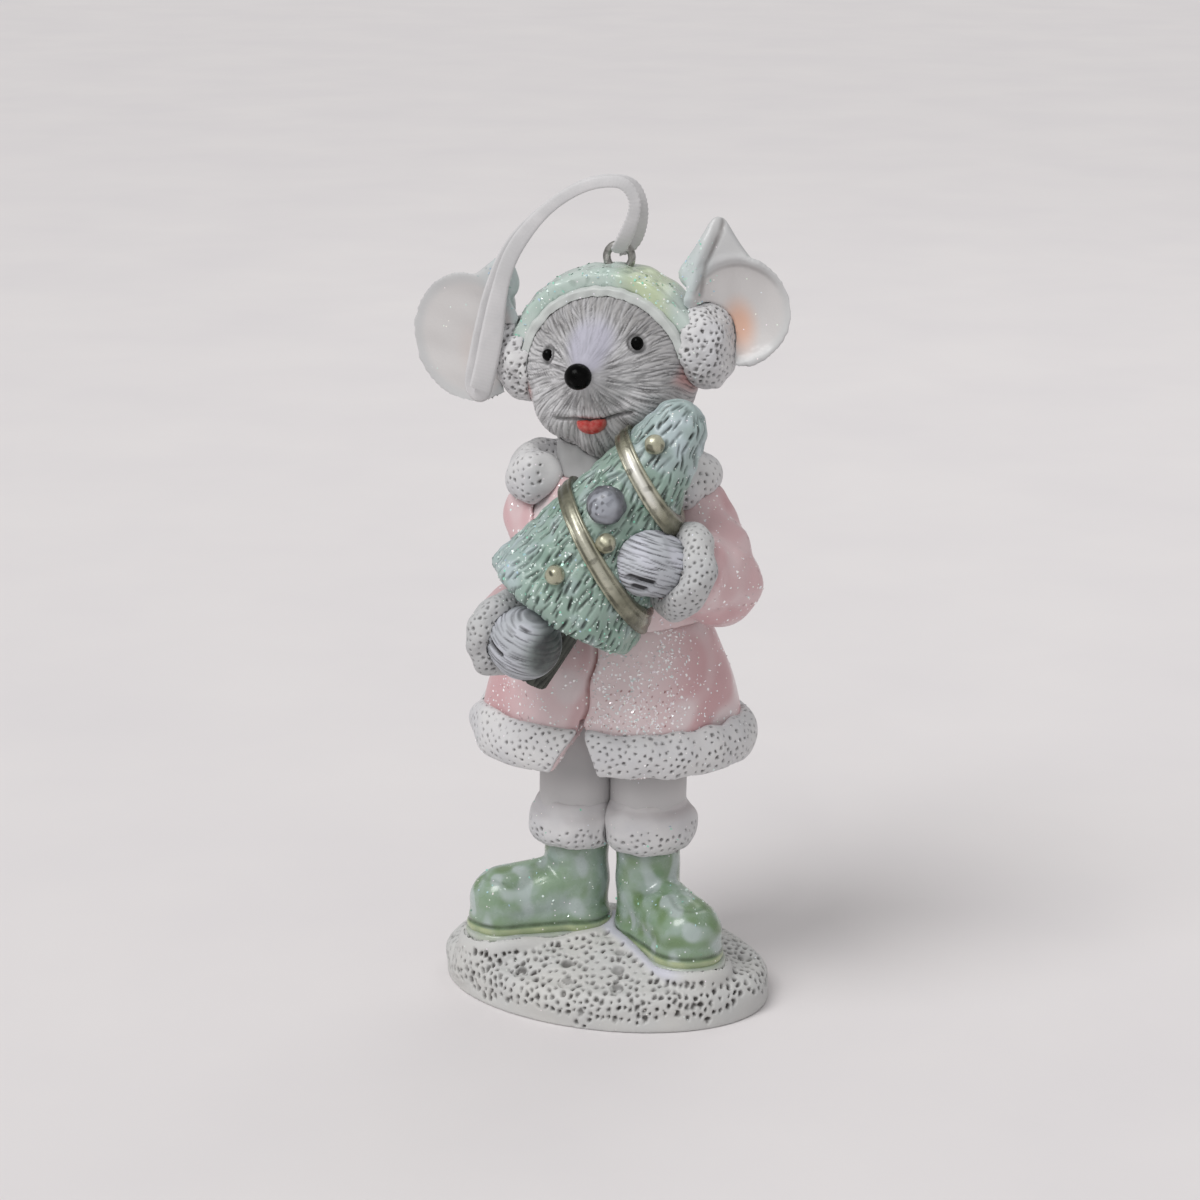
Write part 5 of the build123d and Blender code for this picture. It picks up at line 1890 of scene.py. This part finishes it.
    def skin(self, rows: np.ndarray, across: np.ndarray, ribs: np.ndarray, line: np.ndarray,
             length: float) -> None:
        """Args:
            rows: points round each cross-section.
            across: each point's share of the half width.
            ribs: each point's height on the ribs.
            line: middle line of the ribbon; not used.
            length: length of that line.
        """
        count, ring = rows.shape[:2]
        faces = [(i * ring + j, i * ring + (j + 1) % ring, (i + 1) * ring + (j + 1) % ring,
                  (i + 1) * ring + j)
                 for i in range(count - 1) for j in range(ring)]
        faces += [tuple(range(ring))[::-1], tuple(range((count - 1) * ring, count * ring))]
        mesh = bpy.data.meshes.new("ribbon_loop")
        mesh.from_pydata((rows.reshape(-1, 3) * MM).tolist(), [], faces)
        for name, values in (("across", across), ("rib", ribs)):
            layer = mesh.attributes.new(name, "FLOAT", "POINT")
            layer.data.foreach_set("value", values.astype(np.float32).ravel())
        ribbon = bpy.data.objects.new("ribbon_loop", mesh)
        bpy.context.collection.objects.link(ribbon)
        pick(ribbon)
        bpy.ops.object.mode_set(mode="EDIT")
        bpy.ops.mesh.select_all(action="SELECT")
        bpy.ops.mesh.normals_make_consistent(inside=False)
        bpy.ops.object.mode_set(mode="OBJECT")
        mesh.shade_smooth()
        mesh.materials.append(Palette.get(Palette.RIBBON))
        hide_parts("hanging_ribbon")
        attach(ribbon, HANGER_BODY)
        LOG.info("ribbon: %.1f mm long", length)


@dataclass(frozen=True)
class Lamp:
    """Soft lamp round the object: where it hangs in degrees, its power and its width."""

    name: str
    azimuth: float
    elevation: float
    power: float
    size: float


@dataclass
class Studio:
    """Camera, floor and lights. Lengths are metres."""

    azimuth: float = 15.0
    elevation: float = 16.0
    distance: float = 0.480
    target: Point = (-0.00105, 0.0, 0.0634)
    focal_pixels: float = 3096.0
    picture_pixels: float = 1200.0
    sensor: float = 36.0
    clip: tuple[float, float] = (0.01, 50.0)
    floor_size: float = 8.0
    world_level: float = 0.46
    sun_level: float = 1.7
    sun_angle: float = 32.0
    sun_from: tuple[float, float] = (-32.0, 52.0)
    sun_distance: float = 1.0
    lamp_distance: float = 0.8
    lamps: tuple[Lamp, ...] = (
        Lamp("window", azimuth=20, elevation=30, power=0.25, size=0.5),
        Lamp("back", azimuth=170, elevation=50, power=0.5, size=0.4),
        Lamp("spark", azimuth=4, elevation=42, power=0.14, size=0.03))

    def build(self) -> None:
        """Sets up the whole studio."""
        bpy.context.scene.view_settings.view_transform = "Standard"
        self.camera()
        self.floor()
        self.lights()

    @staticmethod
    def toward(azimuth: float, elevation: float) -> Vector:
        """Direction from the object to a place round it."""
        a, e = math.radians(azimuth), math.radians(elevation)
        return Vector((math.sin(a) * math.cos(e), -math.cos(a) * math.cos(e), math.sin(e)))

    def camera(self) -> None:
        """Sets the camera at the viewing angle."""
        data = bpy.data.cameras.new("view")
        data.sensor_width = self.sensor
        data.lens = self.sensor * self.focal_pixels / self.picture_pixels
        data.clip_start, data.clip_end = self.clip
        camera = bpy.data.objects.new("view", data)
        bpy.context.collection.objects.link(camera)
        back = self.toward(self.azimuth, self.elevation)
        camera.location = Vector(self.target) + back * self.distance
        camera.rotation_euler = (-back).to_track_quat("-Z", "Y").to_euler()
        bpy.context.scene.camera = camera

    def floor(self) -> None:
        """Lays the pale floor."""
        bpy.ops.object.select_all(action="DESELECT")
        bpy.ops.mesh.primitive_plane_add(size=self.floor_size)
        floor = bpy.context.object
        floor.name = "floor"
        floor.data.materials.append(Palette.get(Palette.FLOOR))

    def lights(self) -> None:
        """Hangs the soft key light, the lamps and the sky."""
        sun = bpy.data.lights.new("key", "SUN")
        sun.energy = self.sun_level
        sun.angle = math.radians(self.sun_angle)
        self.aim(sun, *self.sun_from, self.sun_distance)
        for lamp in self.lamps:
            light = bpy.data.lights.new(lamp.name, "AREA")
            light.energy = lamp.power
            light.size = lamp.size
            self.aim(light, lamp.azimuth, lamp.elevation, self.lamp_distance)
        world = bpy.data.worlds.new("sky")
        world.use_nodes = True
        recipe = Recipe(world.node_tree)
        sky = recipe.add("ShaderNodeBackground", {"Color": (1.0, 1.0, 1.0), "Strength": self.world_level})
        recipe.add("ShaderNodeOutputWorld", {"Surface": sky.outputs[0]})
        bpy.context.scene.world = world

    def aim(self, lamp: bpy.types.Light, azimuth: float, elevation: float, distance: float) -> None:
        """Hangs a lamp round the object and points it at the middle.

        Args:
            lamp: the light.
            azimuth: its bearing, in degrees.
            elevation: its height, in degrees.
            distance: how far it hangs from the middle.
        """
        holder = bpy.data.objects.new(lamp.name, lamp)
        bpy.context.collection.objects.link(holder)
        back = self.toward(azimuth, elevation)
        holder.location = Vector(self.target) + back * distance
        holder.rotation_euler = (-back).to_track_quat("-Z", "Y").to_euler()


def main() -> None:
    """Builds the ornament piece by piece."""
    logging.basicConfig(level=logging.INFO, format="%(name)s %(message)s")
    boots = Boots()
    for maker in (Studio(), Hanger(), SnowBase(boots), boots, Trousers(), Coat(), Arms(), Tree(), Head()):
        maker.build()


if __name__ == "__main__":
    main()
